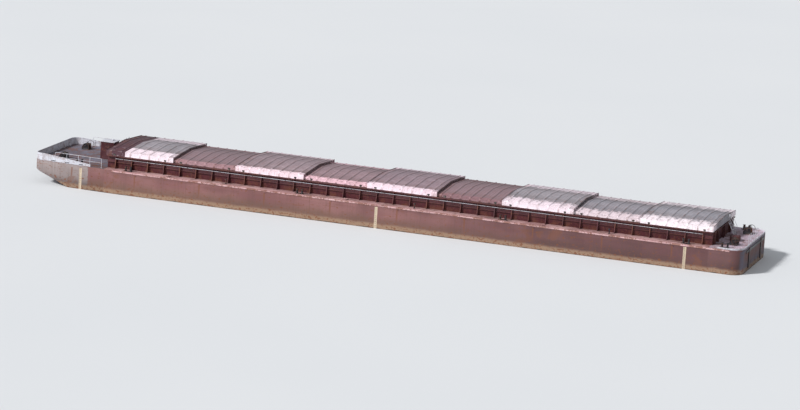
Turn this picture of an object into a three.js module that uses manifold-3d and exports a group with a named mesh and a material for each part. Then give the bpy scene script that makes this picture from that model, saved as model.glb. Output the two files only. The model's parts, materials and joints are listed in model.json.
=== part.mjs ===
// A dumb river barge, the pushed kind: a flat-bottomed box hull with a raked bow, one long hold inside high
// coamings, and nine rolling covers that close it. High covers roll over their low neighbours.
// All sizes are the full-size vessel's, in millimetres. The group at the end is scaled to a 1:2 model.
// x runs aft from bow to stern, y to starboard and z up, from the middle of the flat bottom.
import * as THREE from "three";
import { mergeVertices } from "three/addons/utils/BufferGeometryUtils.js";
import Module from "manifold-3d";

const wasm = await Module();
wasm.setup();

// Driving dimensions of the hull
const MODEL_SCALE = 1 / 2;
const LENGTH = 76500;
const BEAM = 11400; // over the shell plating, without the rubbing strakes
const DEPTH = 3100; // flat bottom to deck
const END_BAR = 80; // heavy rubbing bars across both ends, which make up the overall length
const DECK_PLATE = 20;
const TANK_TOP = 500; // top of the double bottom, which is the floor of the hold
const BILGE_RADIUS = 400;
const HEAD = { halfWidth: 5150, corner: 900, taper: 9000 }; // the deck's edge draws in over the taper
const STERN_CORNER = 1300;
const RAKE = { headLower: 2150, kneeX: 3900, kneeZ: 640, footX: 7600 };
const SWIM = { lower: 450, length: 5200 };
const WELL_DEPTH = 1500;

const HULL_BOW = -LENGTH / 2 + END_BAR;
const HULL_STERN = LENGTH / 2 - END_BAR;
const HALF_BEAM = BEAM / 2;

// Hold and coamings
const HOLD_FORE = HULL_BOW + 8100;
const HOLD_LENGTH = 64800;
const HOLD_AFT = HOLD_FORE + HOLD_LENGTH;
const HOLD_HALF = 4450;
const COAMING = { height: 1300, plate: 60, flangeWide: 400, flangeThick: 40, endFlange: 260 };
const COAMING_TOP = DEPTH + COAMING.height;
const COAMING_FACE = HOLD_HALF + COAMING.plate;
const BELT = { above: 620, thick: 30, wide: 130 }; // stiffener along the coaming, half way up
const STAY = { thick: 30, foot: 330, footHigh: 80, head: 160, pitch: 1800 };
const END_STAY = { foot: 300, head: 180, at: [-3900, -2600, -300, 300, 2600, 3900] };
const RAIL = { wide: 60, high: 60, lowY: 4540, highY: 4770 }; // low covers run on the inner rail
const RAIL_TOP = COAMING_TOP + RAIL.high;

// Covers
const BAYS = 9;
const BAY = HOLD_LENGTH / BAYS;
const SKIN = 40;
const SKIRT = { thick: 60, foot: RAIL_TOP + 20 };
const LOW_EAVE = 4750;
const COVER_STEP = 220; // how far the high covers stand above the low ones
const RIDGE_RISE = 300;
const RIB = { high: 50, wide: 180, perCover: 7 };
const END_BAND = 50; // length of the upstanding lips, drop plates and end walls
const HIGH_COVER = { lap: 150, lip: 50, drop: 60 };
const LOW_COVER = { lap: -20, lip: 60, drop: 0 };
const ROLLER = { radius: 90, wide: 100, inset: 900, segments: 10 };

// Hull fittings
const STRAKE = { low: 2880, high: 3060, proud: 60, slope: 50 };
const HEAD_BAR = { low: 2500, high: 2900, slope: 60, halfWide: 4000 };
const TRANSOM_UPRIGHT = { y: 2600, wide: 400, low: 900, high: 2960 };
const TRANSOM_BEAM = { low: 2560, high: 2860, back: 20 };
const BULWARK = { thick: 40, inset: 20, headHigh: 700, aftHigh: 200, headRun: 1200, length: 6500 };
const BULWARK_STAYS = { foot: 300, below: 80, thick: 30, at: [-3750, -2250, -750, 750, 2250, 3750] };
const FREEING_PORT = { long: 500, low: 60, high: 140, at: [2200, 3800, 5400] };
const TOE_PLATE = { inset: 30, thick: 40, high: 160, length: 2600 };
const SIDE_DECK_Y = 5310;
const BOLLARD = { long: 1000, wide: 420, base: 30, radius: 110, high: 520, cap: 50, capLap: 35, spread: 560 };
const MANHOLE = { rim: 300, rimHigh: 60, lid: 345, lidHigh: 95 };
const VENT = { pipe: 60, high: 480, head: 140, headHigh: 100 };
const RAILING = { high: 1000, mid: 520, tube: 24 };
const STEPS = { y: 1500, wide: 700, string: 40, stringDeep: 130, tread: 40, treadDeep: 200, treads: 4 };
const STEPS_RUN = { clear: 300, run: 700, railHigh: 900, postBack: 60 };
const RUNGS = { y: 1500, half: 200, stand: 150, tube: 25, rung: 15, pitch: 300 };

// Winches, hood and hatch
const RUNNING_FIT = 0.15; // radial clearance of a shaft or pin in its hole
const SEAT_GAP = 0.6; // left under what rests on a curved or a moving face
const WINCH_Y = 3000;
const CHEEK = { long: 820, thick: 40, high: 640, gap: 620, footLap: 90, foot: 40 };
const DRUM = { z: 430, core: 150, flange: 270, flangeThick: 30, shaft: 60, clear: 12, segments: 16 };
const HANDWHEEL = { x: 250, z: 490, rim: 380, tube: 22, hub: 60, spoke: 15, spokes: 4, shaft: 30, out: 235 };
const GUARD = { deep: 100, drumEnd: 200, wheelEnd: 110, below: 90, above: 150 };
const HINGE = { pin: 12, knuckle: 24, halfLength: 70, lugGap: 6, lugLength: 34, segments: 8 };
const HOOD = { x0: -32600, long: 1500, wide: 1400, high: 1850, wall: 50, eave: 60, roof: 50 };
const HOOD_DOOR = { wide: 700, high: 1450, sill: 220, lap: 45, thick: 45, hingeIn: 260 };
const TRUNK = { x0: 35850, y: -900, long: 900, wide: 900, high: 450, wall: 40 };
const LID = { lap: 40, thick: 40, hingeOut: 27, hingeY: 250 };

const v3 = (x, y, z) => new THREE.Vector3(x, y, z);

// Closed solids: three.js makes each shape, and manifold-3d joins and cuts them.
function solid(geometry) {
  const loose = geometry.index ? geometry.toNonIndexed() : geometry;
  const bare = new THREE.BufferGeometry().setAttribute("position", loose.getAttribute("position"));
  const merged = mergeVertices(bare, 1e-2);
  const vertProperties = merged.attributes.position.array;
  const triVerts = new Uint32Array(merged.index.array);
  return new wasm.Manifold(new wasm.Mesh({ numProp: 3, vertProperties, triVerts }));
}

// Flat areas that came from different pieces are merged, so no stray vertex stays on a straight edge.
function geometryOf(body) {
  const mesh = body.asOriginal().simplify(5e-2).getMesh();
  const position = new Float32Array(mesh.numVert * 3);
  for (let i = 0; i < mesh.numVert; i++) {
    const start = i * mesh.numProp;
    position.set(mesh.vertProperties.subarray(start, start + 3), i * 3);
  }
  const geometry = new THREE.BufferGeometry();
  geometry.setAttribute("position", new THREE.BufferAttribute(position, 3));
  geometry.setIndex(new THREE.BufferAttribute(mesh.triVerts, 1));
  geometry.computeVertexNormals();
  return geometry;
}

const join = (bodies) => bodies.reduce((sum, body) => sum.add(body));
const cut = (body, tools) => tools.reduce((left, tool) => left.subtract(tool), body);

// A box between two corners, given in any order.
function block(a, b) {
  const low = a.clone().min(b);
  const size = a.clone().max(b).sub(low);
  const box = new THREE.BoxGeometry(size.x, size.y, size.z);
  return solid(box.translate(low.x + size.x / 2, low.y + size.y / 2, low.z + size.z / 2));
}

// A straight-sided outline from [a, b] pairs. Outlines with arcs are drawn where they are used.
const outline = (pairs) => new THREE.Shape(pairs.map(([a, b]) => new THREE.Vector2(a, b)));

const extruded = (shape, depth) =>
  new THREE.ExtrudeGeometry(shape, { depth, bevelEnabled: false, steps: 1, curveSegments: 6 });

// A (y, z) shape run along x, an (x, z) shape run along y, and an (x, y) shape run along z.
function alongX(shape, x0, x1) {
  const turn = new THREE.Matrix4().makeBasis(v3(0, 1, 0), v3(0, 0, 1), v3(1, 0, 0));
  return solid(extruded(shape, x1 - x0).applyMatrix4(turn).translate(x0, 0, 0));
}

function alongY(shape, y0, y1) {
  const turn = new THREE.Matrix4().makeBasis(v3(1, 0, 0), v3(0, 0, 1), v3(0, -1, 0));
  return solid(extruded(shape, y1 - y0).applyMatrix4(turn).translate(0, y1, 0));
}

function alongZ(shape, z0, z1) {
  return solid(extruded(shape, z1 - z0).translate(0, 0, z0));
}

// A round bar between two points, turned about its own axis by a share of one flat.
function bar(from, to, radius, segments = 6, turnShare = 0) {
  const way = to.clone().sub(from);
  const rod = new THREE.CylinderGeometry(radius, radius, way.length(), segments);
  rod.rotateY((turnShare * 2 * Math.PI) / segments);
  rod.applyQuaternion(new THREE.Quaternion().setFromUnitVectors(v3(0, 1, 0), way.clone().normalize()));
  const middle = from.clone().add(to).multiplyScalar(0.5);
  return solid(rod.translate(middle.x, middle.y, middle.z));
}

// The hole for a round bar to turn in. Its flats face the bar's corners, a running fit away.
function seatHole(from, to, radius, segments) {
  return bar(from, to, (radius + RUNNING_FIT) / Math.cos(Math.PI / segments), segments, 0.5);
}

// A body turned about the y axis, from [radius, y] pairs that start and end on the axis or form a ring.
function turnedAboutY(pairs, segments) {
  return solid(new THREE.LatheGeometry(pairs.map(([r, y]) => new THREE.Vector2(r, y)), segments));
}

// The moving half of a hinge: a knuckle on its pin. The way is a unit vector along the axis.
function hingeKnuckle(middle, way) {
  const reach = HINGE.halfLength + HINGE.lugGap + HINGE.lugLength;
  const at = (along) => middle.clone().addScaledVector(way, along);
  return join([
    bar(at(-HINGE.halfLength), at(HINGE.halfLength), HINGE.knuckle, HINGE.segments),
    bar(at(-reach), at(reach), HINGE.pin, HINGE.segments),
  ]);
}

// The fixed half: two lugs round the pin's ends. The web joins each to its wall, between two distances.
function hingeLugs(middle, way, web) {
  const near = HINGE.halfLength + HINGE.lugGap;
  const far = near + HINGE.lugLength;
  const at = (along) => middle.clone().addScaledVector(way, along);
  return [
    [-far, -near],
    [near, far],
  ].map(([low, high]) => {
    const lug = bar(at(low), at(high), HINGE.knuckle, HINGE.segments).add(web(low, high));
    return lug.subtract(seatHole(at(low - 10), at(high + 10), HINGE.pin, HINGE.segments));
  });
}

// Finishes
const PAINTS = {
  shell: { color: 0x8a5248, roughness: 0.75, metalness: 0.1 },
  head: { color: 0x9c948c, roughness: 0.75, metalness: 0.1 },
  deck: { color: 0x8c5a54, roughness: 0.85, metalness: 0.1 },
  coaming: { color: 0x5c2a2c, roughness: 0.7, metalness: 0.1 },
  highCover: { color: 0xd8c4c2, roughness: 0.6, metalness: 0.2 },
  lowCover: { color: 0xa87c76, roughness: 0.7, metalness: 0.2 },
  fittings: { color: 0x26262a, roughness: 0.6, metalness: 0.3 },
  pale: { color: 0xd9dbe0, roughness: 0.5, metalness: 0.1 },
};

const barge = new THREE.Group();
barge.scale.setScalar(MODEL_SCALE);

function place(name, body, paint, position = v3(0, 0, 0), parent = barge) {
  const mesh = new THREE.Mesh(geometryOf(body), new THREE.MeshStandardMaterial(PAINTS[paint]));
  mesh.name = name;
  mesh.position.copy(position);
  parent.add(mesh);
}

const SIDES = [
  { name: "port", sign: -1 },
  { name: "starboard", sign: 1 },
];
const CORNERS = [
  { name: "bow_port", end: "bow", side: -1 },
  { name: "bow_starboard", end: "bow", side: 1 },
  { name: "stern_port", end: "stern", side: -1 },
  { name: "stern_starboard", end: "stern", side: 1 },
];
const HOLD_ENDS = [
  { name: "fore", face: HOLD_FORE, out: -1 },
  { name: "aft", face: HOLD_AFT, out: 1 },
];

// Half-width of the deck's edge, which draws in towards the head.
function halfWidthAt(x) {
  const share = Math.min(1, (x - HULL_BOW) / HEAD.taper);
  return HEAD.halfWidth + (HALF_BEAM - HEAD.halfWidth) * share;
}

// The deck's outline seen from above, drawn inset by a margin.
function planShape(inset = 0) {
  const head = HULL_BOW + inset;
  const shoulder = head + HEAD.corner;
  const edge = (x) => halfWidthAt(x) - inset;
  const headFlat = edge(head) - HEAD.corner;
  const parallel = HULL_BOW + HEAD.taper;
  const radius = STERN_CORNER - inset;
  const cornerX = HULL_STERN - STERN_CORNER;
  const cornerY = HALF_BEAM - STERN_CORNER;
  const shape = new THREE.Shape();
  shape.moveTo(head, -headFlat);
  shape.quadraticCurveTo(head, -edge(head), shoulder, -edge(shoulder));
  shape.lineTo(parallel, -edge(parallel));
  shape.lineTo(cornerX, -cornerY - radius);
  shape.absarc(cornerX, -cornerY, radius, -Math.PI / 2, 0, false);
  shape.absarc(cornerX, cornerY, radius, 0, Math.PI / 2, false);
  shape.lineTo(parallel, edge(parallel));
  shape.lineTo(shoulder, edge(shoulder));
  shape.quadraticCurveTo(head, edge(head), head, headFlat);
  return shape;
}

// The hull seen from the side: raked bow, flat bottom, and the swim under the transom.
function profileShape() {
  const shape = new THREE.Shape();
  const kneeX = HULL_BOW + RAKE.kneeX;
  const footX = HULL_BOW + RAKE.footX;
  shape.moveTo(HULL_BOW, DEPTH);
  shape.lineTo(HULL_BOW, RAKE.headLower);
  shape.lineTo(kneeX, RAKE.kneeZ);
  shape.quadraticCurveTo((kneeX + footX) / 2, 0, footX, 0);
  shape.lineTo(HULL_STERN - SWIM.length, 0);
  shape.lineTo(HULL_STERN, SWIM.lower);
  shape.lineTo(HULL_STERN, DEPTH);
  return shape;
}

// The hull cut across, with its rounded bilges.
function sectionShape() {
  const shape = new THREE.Shape();
  const r = BILGE_RADIUS;
  shape.moveTo(-HALF_BEAM, DEPTH);
  shape.lineTo(-HALF_BEAM, r);
  shape.absarc(-HALF_BEAM + r, r, r, Math.PI, 1.5 * Math.PI, false);
  shape.lineTo(HALF_BEAM - r, 0);
  shape.absarc(HALF_BEAM - r, r, r, -Math.PI / 2, 0, false);
  shape.lineTo(HALF_BEAM, DEPTH);
  return shape;
}

// Parts of the hull lie between two x positions and, where given, on one side or between two heights.
const within = (x0, x1, z0 = -DEPTH, z1 = 3 * DEPTH) => block(v3(x0, -BEAM, z0), v3(x1, BEAM, z1));
const sideOf = (sign, z0, z1) => block(v3(HOLD_FORE, sign * HOLD_HALF, z0), v3(HOLD_AFT, sign * BEAM, z1));

// Wells under the hood and the hatch, where the ways down to the end tanks start.
const HOOD_WELL = { x0: HOOD.x0 + 350, x1: HOOD.x0 + HOOD.long - 250, y: 0, half: 350 };
const HATCH_WELL = { x0: TRUNK.x0 + 100, x1: TRUNK.x0 + TRUNK.long - 100, y: TRUNK.y, half: 350 };
const wells = [HOOD_WELL, HATCH_WELL].map(({ x0, x1, y, half }) =>
  block(v3(x0, y - half, DEPTH - WELL_DEPTH), v3(x1, y + half, 2 * DEPTH)),
);

// Hull: bow and stern blocks, double bottom and two wing tanks, each closed inside.
function buildHull() {
  const whole = alongZ(planShape(), 0, DEPTH - DECK_PLATE)
    .intersect(alongY(profileShape(), -BEAM, BEAM))
    .intersect(alongX(sectionShape(), HULL_BOW - 1, HULL_STERN + 1));
  place("hull_bow", cut(whole.intersect(within(-LENGTH, HOLD_FORE)), wells), "head");
  place("hull_stern", cut(whole.intersect(within(HOLD_AFT, LENGTH)), wells), "shell");
  place("double_bottom", whole.intersect(within(HOLD_FORE, HOLD_AFT, 0, TANK_TOP)), "shell");
  for (const { name, sign } of SIDES) {
    place(`wing_tank_${name}`, whole.intersect(sideOf(sign, TANK_TOP, DEPTH)), "shell");
  }
}

// A pair of capped mooring posts on one base, its long side along x.
function doubleBollard(x, y, z) {
  const { long, wide, base, radius, high, cap, capLap, spread } = BOLLARD;
  const parts = [block(v3(x - long / 2, y - wide / 2, z), v3(x + long / 2, y + wide / 2, z + base))];
  for (const px of [x - spread / 2, x + spread / 2]) {
    parts.push(bar(v3(px, y, z + base / 2), v3(px, y, z + high - cap / 2), radius, 10));
    parts.push(bar(v3(px, y, z + high - cap), v3(px, y, z + high), radius + capLap, 10));
  }
  return join(parts);
}

// A round manhole rim with its lid.
function manhole(x, y, z) {
  const rim = bar(v3(x, y, z), v3(x, y, z + MANHOLE.rimHigh), MANHOLE.rim, 12);
  return rim.add(bar(v3(x, y, z + MANHOLE.rimHigh - 10), v3(x, y, z + MANHOLE.lidHigh), MANHOLE.lid, 12));
}

// A mushroom-headed tank vent.
function vent(x, y, z) {
  const neck = z + VENT.high;
  const pipe = bar(v3(x, y, z), v3(x, y, neck), VENT.pipe, 6);
  return pipe.add(bar(v3(x, y, neck - VENT.headHigh / 2), v3(x, y, neck + VENT.headHigh / 2), VENT.head, 8));
}

// Side-deck fittings: the distance aft of the hold's fore end, and what stands there.
const SIDE_DECK_FITTINGS = [
  { aft: 2600, make: doubleBollard },
  { aft: 7000, make: manhole },
  { aft: 13500, make: vent },
  { aft: 21600, make: doubleBollard },
  { aft: 26500, make: manhole },
  { aft: 34000, make: vent },
  { aft: 43400, make: doubleBollard },
  { aft: 47500, make: manhole },
  { aft: 54500, make: vent },
  { aft: 62400, make: doubleBollard },
];

// Deck plating, with the side decks' fittings welded on.
function buildDecks() {
  const plate = alongZ(planShape(), DEPTH - DECK_PLATE, DEPTH);
  place("deck_fore", cut(plate.intersect(within(-LENGTH, HOLD_FORE)), wells), "deck");
  place("deck_aft", cut(plate.intersect(within(HOLD_AFT, LENGTH)), wells), "deck");
  for (const { name, sign } of SIDES) {
    const strip = plate.intersect(sideOf(sign, 0, 2 * DEPTH));
    const fittings = SIDE_DECK_FITTINGS.map(({ aft, make }) =>
      make(HOLD_FORE + aft, sign * SIDE_DECK_Y, DEPTH - 1),
    );
    place(`side_deck_${name}`, join([strip, ...fittings]), "deck");
  }
}

// Rubbing strake just under the deck's edge, along the straight part of each side.
function buildStrakes() {
  for (const { name, sign } of SIDES) {
    const shape = outline([
      [sign * HALF_BEAM, STRAKE.low],
      [sign * (HALF_BEAM + STRAKE.proud), STRAKE.low + STRAKE.slope],
      [sign * (HALF_BEAM + STRAKE.proud), STRAKE.high - STRAKE.slope],
      [sign * HALF_BEAM, STRAKE.high],
    ]);
    const strake = alongX(shape, HULL_BOW + HEAD.taper, HULL_STERN - STERN_CORNER);
    place(`rubbing_strake_${name}`, strake, "shell");
  }
}

// Heavy bars across the head and the transom, where other hulls push.
function buildEndBars() {
  const { low, high, slope, halfWide } = HEAD_BAR;
  const shape = outline([
    [HULL_BOW, low],
    [HULL_BOW - END_BAR, low + slope],
    [HULL_BOW - END_BAR, high - slope],
    [HULL_BOW, high],
  ]);
  place("head_bar", alongY(shape, -halfWide, halfWide), "fittings");

  const face = HULL_STERN + END_BAR;
  const beam = TRANSOM_BEAM;
  const parts = [block(v3(HULL_STERN, -halfWide, beam.low), v3(face - beam.back, halfWide, beam.high))];
  const upright = TRANSOM_UPRIGHT;
  for (const y of [-upright.y, upright.y]) {
    const from = v3(HULL_STERN, y - upright.wide / 2, upright.low);
    parts.push(block(from, v3(face, y + upright.wide / 2, upright.high)));
  }
  place("transom_bars", join(parts), "fittings");
}

// Bow bulwark: a plate wall that follows the deck's edge and falls away aft, with freeing ports and stays.
function buildBulwark() {
  const { thick, inset, headHigh, aftHigh, headRun, length } = BULWARK;
  const wall = alongZ(planShape(inset), DEPTH, DEPTH + headHigh);
  const inside = alongZ(planShape(inset + thick), DEPTH - 10, DEPTH + headHigh + 10);
  const side = outline([
    [HULL_BOW, DEPTH],
    [HULL_BOW + length, DEPTH],
    [HULL_BOW + length, DEPTH + aftHigh],
    [HULL_BOW + headRun, DEPTH + headHigh],
    [HULL_BOW, DEPTH + headHigh],
  ]);
  const ports = FREEING_PORT.at.map((aft) => {
    const x = HULL_BOW + aft;
    return block(
      v3(x - FREEING_PORT.long / 2, -BEAM, DEPTH + FREEING_PORT.low),
      v3(x + FREEING_PORT.long / 2, BEAM, DEPTH + FREEING_PORT.high),
    );
  });
  const parts = [cut(wall.subtract(inside).intersect(alongY(side, -BEAM, BEAM)), ports)];
  const stays = BULWARK_STAYS;
  const x = HULL_BOW + inset + thick / 2;
  const stay = outline([
    [x, DEPTH],
    [x + stays.foot, DEPTH],
    [x, DEPTH + headHigh - stays.below],
  ]);
  for (const y of stays.at) {
    parts.push(alongY(stay, y - stays.thick / 2, y + stays.thick / 2));
  }
  place("bow_bulwark", join(parts), "pale");
}

// Low foot plate round the stern's edge.
function buildToePlate() {
  const { inset, thick, high, length } = TOE_PLATE;
  const outer = alongZ(planShape(inset), DEPTH, DEPTH + high);
  const inner = alongZ(planShape(inset + thick), DEPTH - 10, DEPTH + high + 10);
  place("stern_toe_plate", outer.subtract(inner).intersect(within(HULL_STERN - length, LENGTH)), "pale");
}

// Side coamings with their top flange, both cover rails and the stays that stand on the side deck.
function buildSideCoamings() {
  const flangeUnder = COAMING_TOP - COAMING.flangeThick;
  const flangeEdge = HOLD_HALF + COAMING.flangeWide;
  const sink = 5; // how far a welded piece reaches into the next one
  const rail = (y) => [
    [y - RAIL.wide / 2, COAMING_TOP - sink],
    [y + RAIL.wide / 2, COAMING_TOP - sink],
    [y + RAIL.wide / 2, RAIL_TOP],
    [y - RAIL.wide / 2, RAIL_TOP],
  ];
  const wall = [
    [HOLD_HALF, DEPTH],
    [COAMING_FACE, DEPTH],
    [COAMING_FACE, flangeUnder],
    [flangeEdge, flangeUnder],
    [flangeEdge, COAMING_TOP],
    [HOLD_HALF, COAMING_TOP],
  ];
  const belt = [
    [COAMING_FACE - sink, DEPTH + BELT.above],
    [COAMING_FACE + BELT.wide, DEPTH + BELT.above],
    [COAMING_FACE + BELT.wide, DEPTH + BELT.above + BELT.thick],
    [COAMING_FACE - sink, DEPTH + BELT.above + BELT.thick],
  ];
  const stay = [
    [COAMING_FACE - sink, DEPTH],
    [COAMING_FACE + STAY.foot, DEPTH],
    [COAMING_FACE + STAY.foot, DEPTH + STAY.footHigh],
    [COAMING_FACE + STAY.head, flangeUnder + sink],
    [COAMING_FACE - sink, flangeUnder + sink],
  ];
  for (const { name, sign } of SIDES) {
    const sided = (pairs) => outline(pairs.map(([y, z]) => [sign * y, z]));
    const parts = [wall, rail(RAIL.lowY), rail(RAIL.highY), belt].map((pairs) =>
      alongX(sided(pairs), HOLD_FORE - COAMING.plate, HOLD_AFT + COAMING.plate),
    );
    for (let x = HOLD_FORE + STAY.pitch / 2; x < HOLD_AFT; x += STAY.pitch) {
      parts.push(alongX(sided(stay), x - STAY.thick / 2, x + STAY.thick / 2));
    }
    place(`coaming_${name}`, join(parts), "coaming");
  }
}

// End coamings, between the side ones, with stays on their outer faces.
function buildEndCoamings() {
  const flangeUnder = COAMING_TOP - COAMING.flangeThick;
  const sink = 5;
  for (const { name, face, out } of HOLD_ENDS) {
    const ended = (pairs) => outline(pairs.map(([x, z]) => [face + out * x, z]));
    const wall = ended([
      [0, DEPTH],
      [COAMING.plate, DEPTH],
      [COAMING.plate, flangeUnder],
      [COAMING.endFlange, flangeUnder],
      [COAMING.endFlange, COAMING_TOP],
      [0, COAMING_TOP],
    ]);
    const stay = ended([
      [COAMING.plate - sink, DEPTH],
      [END_STAY.foot, DEPTH],
      [END_STAY.head, flangeUnder + sink],
      [COAMING.plate - sink, flangeUnder + sink],
    ]);
    const parts = [alongY(wall, -HOLD_HALF, HOLD_HALF)];
    for (const y of END_STAY.at) {
      parts.push(alongY(stay, y - STAY.thick / 2, y + STAY.thick / 2));
    }
    place(`coaming_${name}`, join(parts), "coaming");
  }
}

// One cover about its own middle, at its heights on the barge. Its end wall, if any, faces -1 or 1 along x.
function coverBody({ length, outerY, eave, lip, drop, endWall }) {
  const half = length / 2;
  const innerY = outerY - SKIRT.thick;
  const gable = (lift, edge = outerY) => [
    [-edge, eave + lift],
    [0, eave + RIDGE_RISE + lift],
    [edge, eave + lift],
  ];
  const band = (lower, upper) => outline([...gable(upper), ...gable(lower).reverse()]);
  const shell = outline([
    [-outerY, SKIRT.foot],
    ...gable(0),
    [outerY, SKIRT.foot],
    [innerY, SKIRT.foot],
    ...gable(-SKIN, innerY).reverse(),
    [-innerY, SKIRT.foot],
  ]);
  const parts = [alongX(shell, -half, half)];
  for (let i = 0; i < RIB.perCover; i++) {
    const x = Math.round(-half + ((i + 0.5) * length) / RIB.perCover);
    parts.push(alongX(band(-10, RIB.high), x - RIB.wide / 2, x + RIB.wide / 2));
  }
  for (const end of [-1, 1]) {
    const x0 = Math.min(end * half, end * (half - END_BAND));
    parts.push(alongX(band(-10, lip), x0, x0 + END_BAND));
    if (drop > 0) {
      const trim = block(v3(-length, -innerY - 5, 0), v3(length, innerY + 5, 2 * eave));
      parts.push(alongX(band(-SKIN - drop, -SKIN + 5), x0, x0 + END_BAND).intersect(trim));
    }
    if (endWall === end) {
      const wall = outline([[-outerY + 5, SKIRT.foot], ...gable(-10, outerY - 5), [outerY - 5, SKIRT.foot]]);
      parts.push(alongX(wall, x0, x0 + END_BAND));
    }
    for (const side of [-1, 1]) {
      const x = end * (half - ROLLER.inset);
      const y = side * (outerY - SKIRT.thick / 2);
      const z = RAIL_TOP + ROLLER.radius + SEAT_GAP;
      const roller = [v3(x, y - ROLLER.wide / 2, z), v3(x, y + ROLLER.wide / 2, z)];
      parts.push(bar(...roller, ROLLER.radius, ROLLER.segments));
    }
  }
  return join(parts);
}

// Covers from bow to stern: odd ones are high, and the first and last close the hold's ends.
function buildCovers() {
  for (let i = 0; i < BAYS; i++) {
    const high = i % 2 === 0;
    const { lap, lip, drop } = high ? HIGH_COVER : LOW_COVER;
    const body = coverBody({
      length: BAY + 2 * lap,
      outerY: (high ? RAIL.highY : RAIL.lowY) + RAIL.wide / 2,
      eave: high ? LOW_EAVE + COVER_STEP : LOW_EAVE,
      lip,
      drop,
      endWall: { 0: -1, [BAYS - 1]: 1 }[i],
    });
    const middle = v3(HOLD_FORE + (i + 0.5) * BAY, 0, 0);
    place(`cover_${i + 1}_${high ? "high" : "low"}`, body, high ? "highCover" : "lowCover", middle);
  }
}

// A winch's side plate, with its middle at a given y.
function cheekPlate(y) {
  const { long, thick, high } = CHEEK;
  const shape = outline([
    [-long * 0.5, 0],
    [long * 0.5, 0],
    [long * 0.5, high * 0.55],
    [long * 0.4, high],
    [-long * 0.2, high],
    [-long * 0.5, high * 0.45],
  ]);
  return alongY(shape, y - thick / 2, y + thick / 2);
}

// A winch's frame: foot, two cheeks and the gear guard on the outboard one, bored for both shafts.
function winchFrame(side) {
  const outboard = (side * (CHEEK.gap + CHEEK.thick)) / 2;
  const guardOut = outboard + side * GUARD.deep;
  const at = (x, y, z) => v3(x, y, z);
  const footHalf = CHEEK.gap / 2 + CHEEK.footLap;
  const foot = block(v3(-CHEEK.long / 2, -footHalf, 0), v3(CHEEK.long / 2, footHalf, CHEEK.foot));
  const guard = [
    bar(at(0, outboard, DRUM.z), at(0, guardOut, DRUM.z), GUARD.drumEnd, 16),
    bar(at(HANDWHEEL.x, outboard, HANDWHEEL.z), at(HANDWHEEL.x, guardOut, HANDWHEEL.z), GUARD.wheelEnd, 12),
    block(
      at(0, outboard + side * 5, DRUM.z - GUARD.below),
      at(HANDWHEEL.x, guardOut - side * 5, DRUM.z + GUARD.above),
    ),
  ];
  const shaftEnd = CHEEK.gap / 2 + CHEEK.thick + 3;
  const holes = [
    seatHole(at(0, -shaftEnd, DRUM.z), at(0, shaftEnd, DRUM.z), DRUM.shaft, DRUM.segments),
    seatHole(
      at(HANDWHEEL.x, outboard - side * CHEEK.thick, HANDWHEEL.z),
      at(HANDWHEEL.x, guardOut + side * 10, HANDWHEEL.z),
      HANDWHEEL.shaft,
      12,
    ),
  ];
  return cut(join([foot, cheekPlate(-outboard), cheekPlate(outboard), ...guard]), holes);
}

// A drum about its own axle, with the axle's ends in the cheeks.
function winchDrum() {
  const { core, flange, flangeThick, shaft, clear, segments } = DRUM;
  const face = CHEEK.gap / 2 - clear;
  const end = CHEEK.gap / 2 + CHEEK.thick;
  const half = [
    [core, face - flangeThick],
    [flange, face - flangeThick],
    [flange, face],
    [shaft, face],
    [shaft, end],
    [0, end],
  ];
  const mirrored = half.map(([r, y]) => [r, -y]).reverse();
  return turnedAboutY([...mirrored, ...half], segments);
}

// A handwheel about its own shaft, which starts inside the outboard cheek.
function winchHandwheel(side) {
  const { rim, tube, hub, spoke, spokes, shaft, out } = HANDWHEEL;
  const axis = (y) => v3(0, side * y, 0);
  const ring = [0, 1, 2, 3, 4].map((k) => [
    rim + tube * Math.cos((k * Math.PI) / 2),
    side * out + tube * Math.sin((k * Math.PI) / 2),
  ]);
  const parts = [
    bar(axis(-10), axis(out + 15), shaft, 12),
    bar(axis(out - 35), axis(out + 35), hub, 12),
    turnedAboutY(ring, 20),
  ];
  for (let k = 0; k < spokes; k++) {
    const angle = (k * 2 * Math.PI) / spokes;
    const tip = v3((rim - 5) * Math.cos(angle), side * out, (rim - 5) * Math.sin(angle));
    parts.push(bar(axis(out), tip, spoke));
  }
  return join(parts);
}

// Winches for the coupling wires, two at each end, with their handwheels outboard.
function buildWinches() {
  const winchX = { bow: HULL_BOW + 2400, stern: HULL_STERN - 1500 };
  for (const { name, end, side } of CORNERS) {
    const winch = new THREE.Group();
    winch.position.set(winchX[end], side * WINCH_Y, DEPTH);
    barge.add(winch);
    const outboard = (side * (CHEEK.gap + CHEEK.thick)) / 2;
    const wheelAt = v3(HANDWHEEL.x, outboard, HANDWHEEL.z);
    place(`winch_frame_${name}`, winchFrame(side), "fittings", v3(0, 0, 0), winch);
    place(`winch_drum_${name}`, winchDrum(), "fittings", v3(0, 0, DRUM.z), winch);
    place(`winch_handwheel_${name}`, winchHandwheel(side), "fittings", wheelAt, winch);
  }
}

// Big bollards on the end decks, and how far each pair stands from the hull's end and its centreline.
const END_BOLLARDS = {
  bow: { x: HULL_BOW + 4900, y: 4650 },
  stern: { x: HULL_STERN - 2000, y: 4850 },
};

function buildEndBollards() {
  for (const { name, end, side } of CORNERS) {
    const { x, y } = END_BOLLARDS[end];
    place(`bollard_${name}`, doubleBollard(0, 0, 0), "fittings", v3(x, side * y, DEPTH));
  }
}

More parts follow.
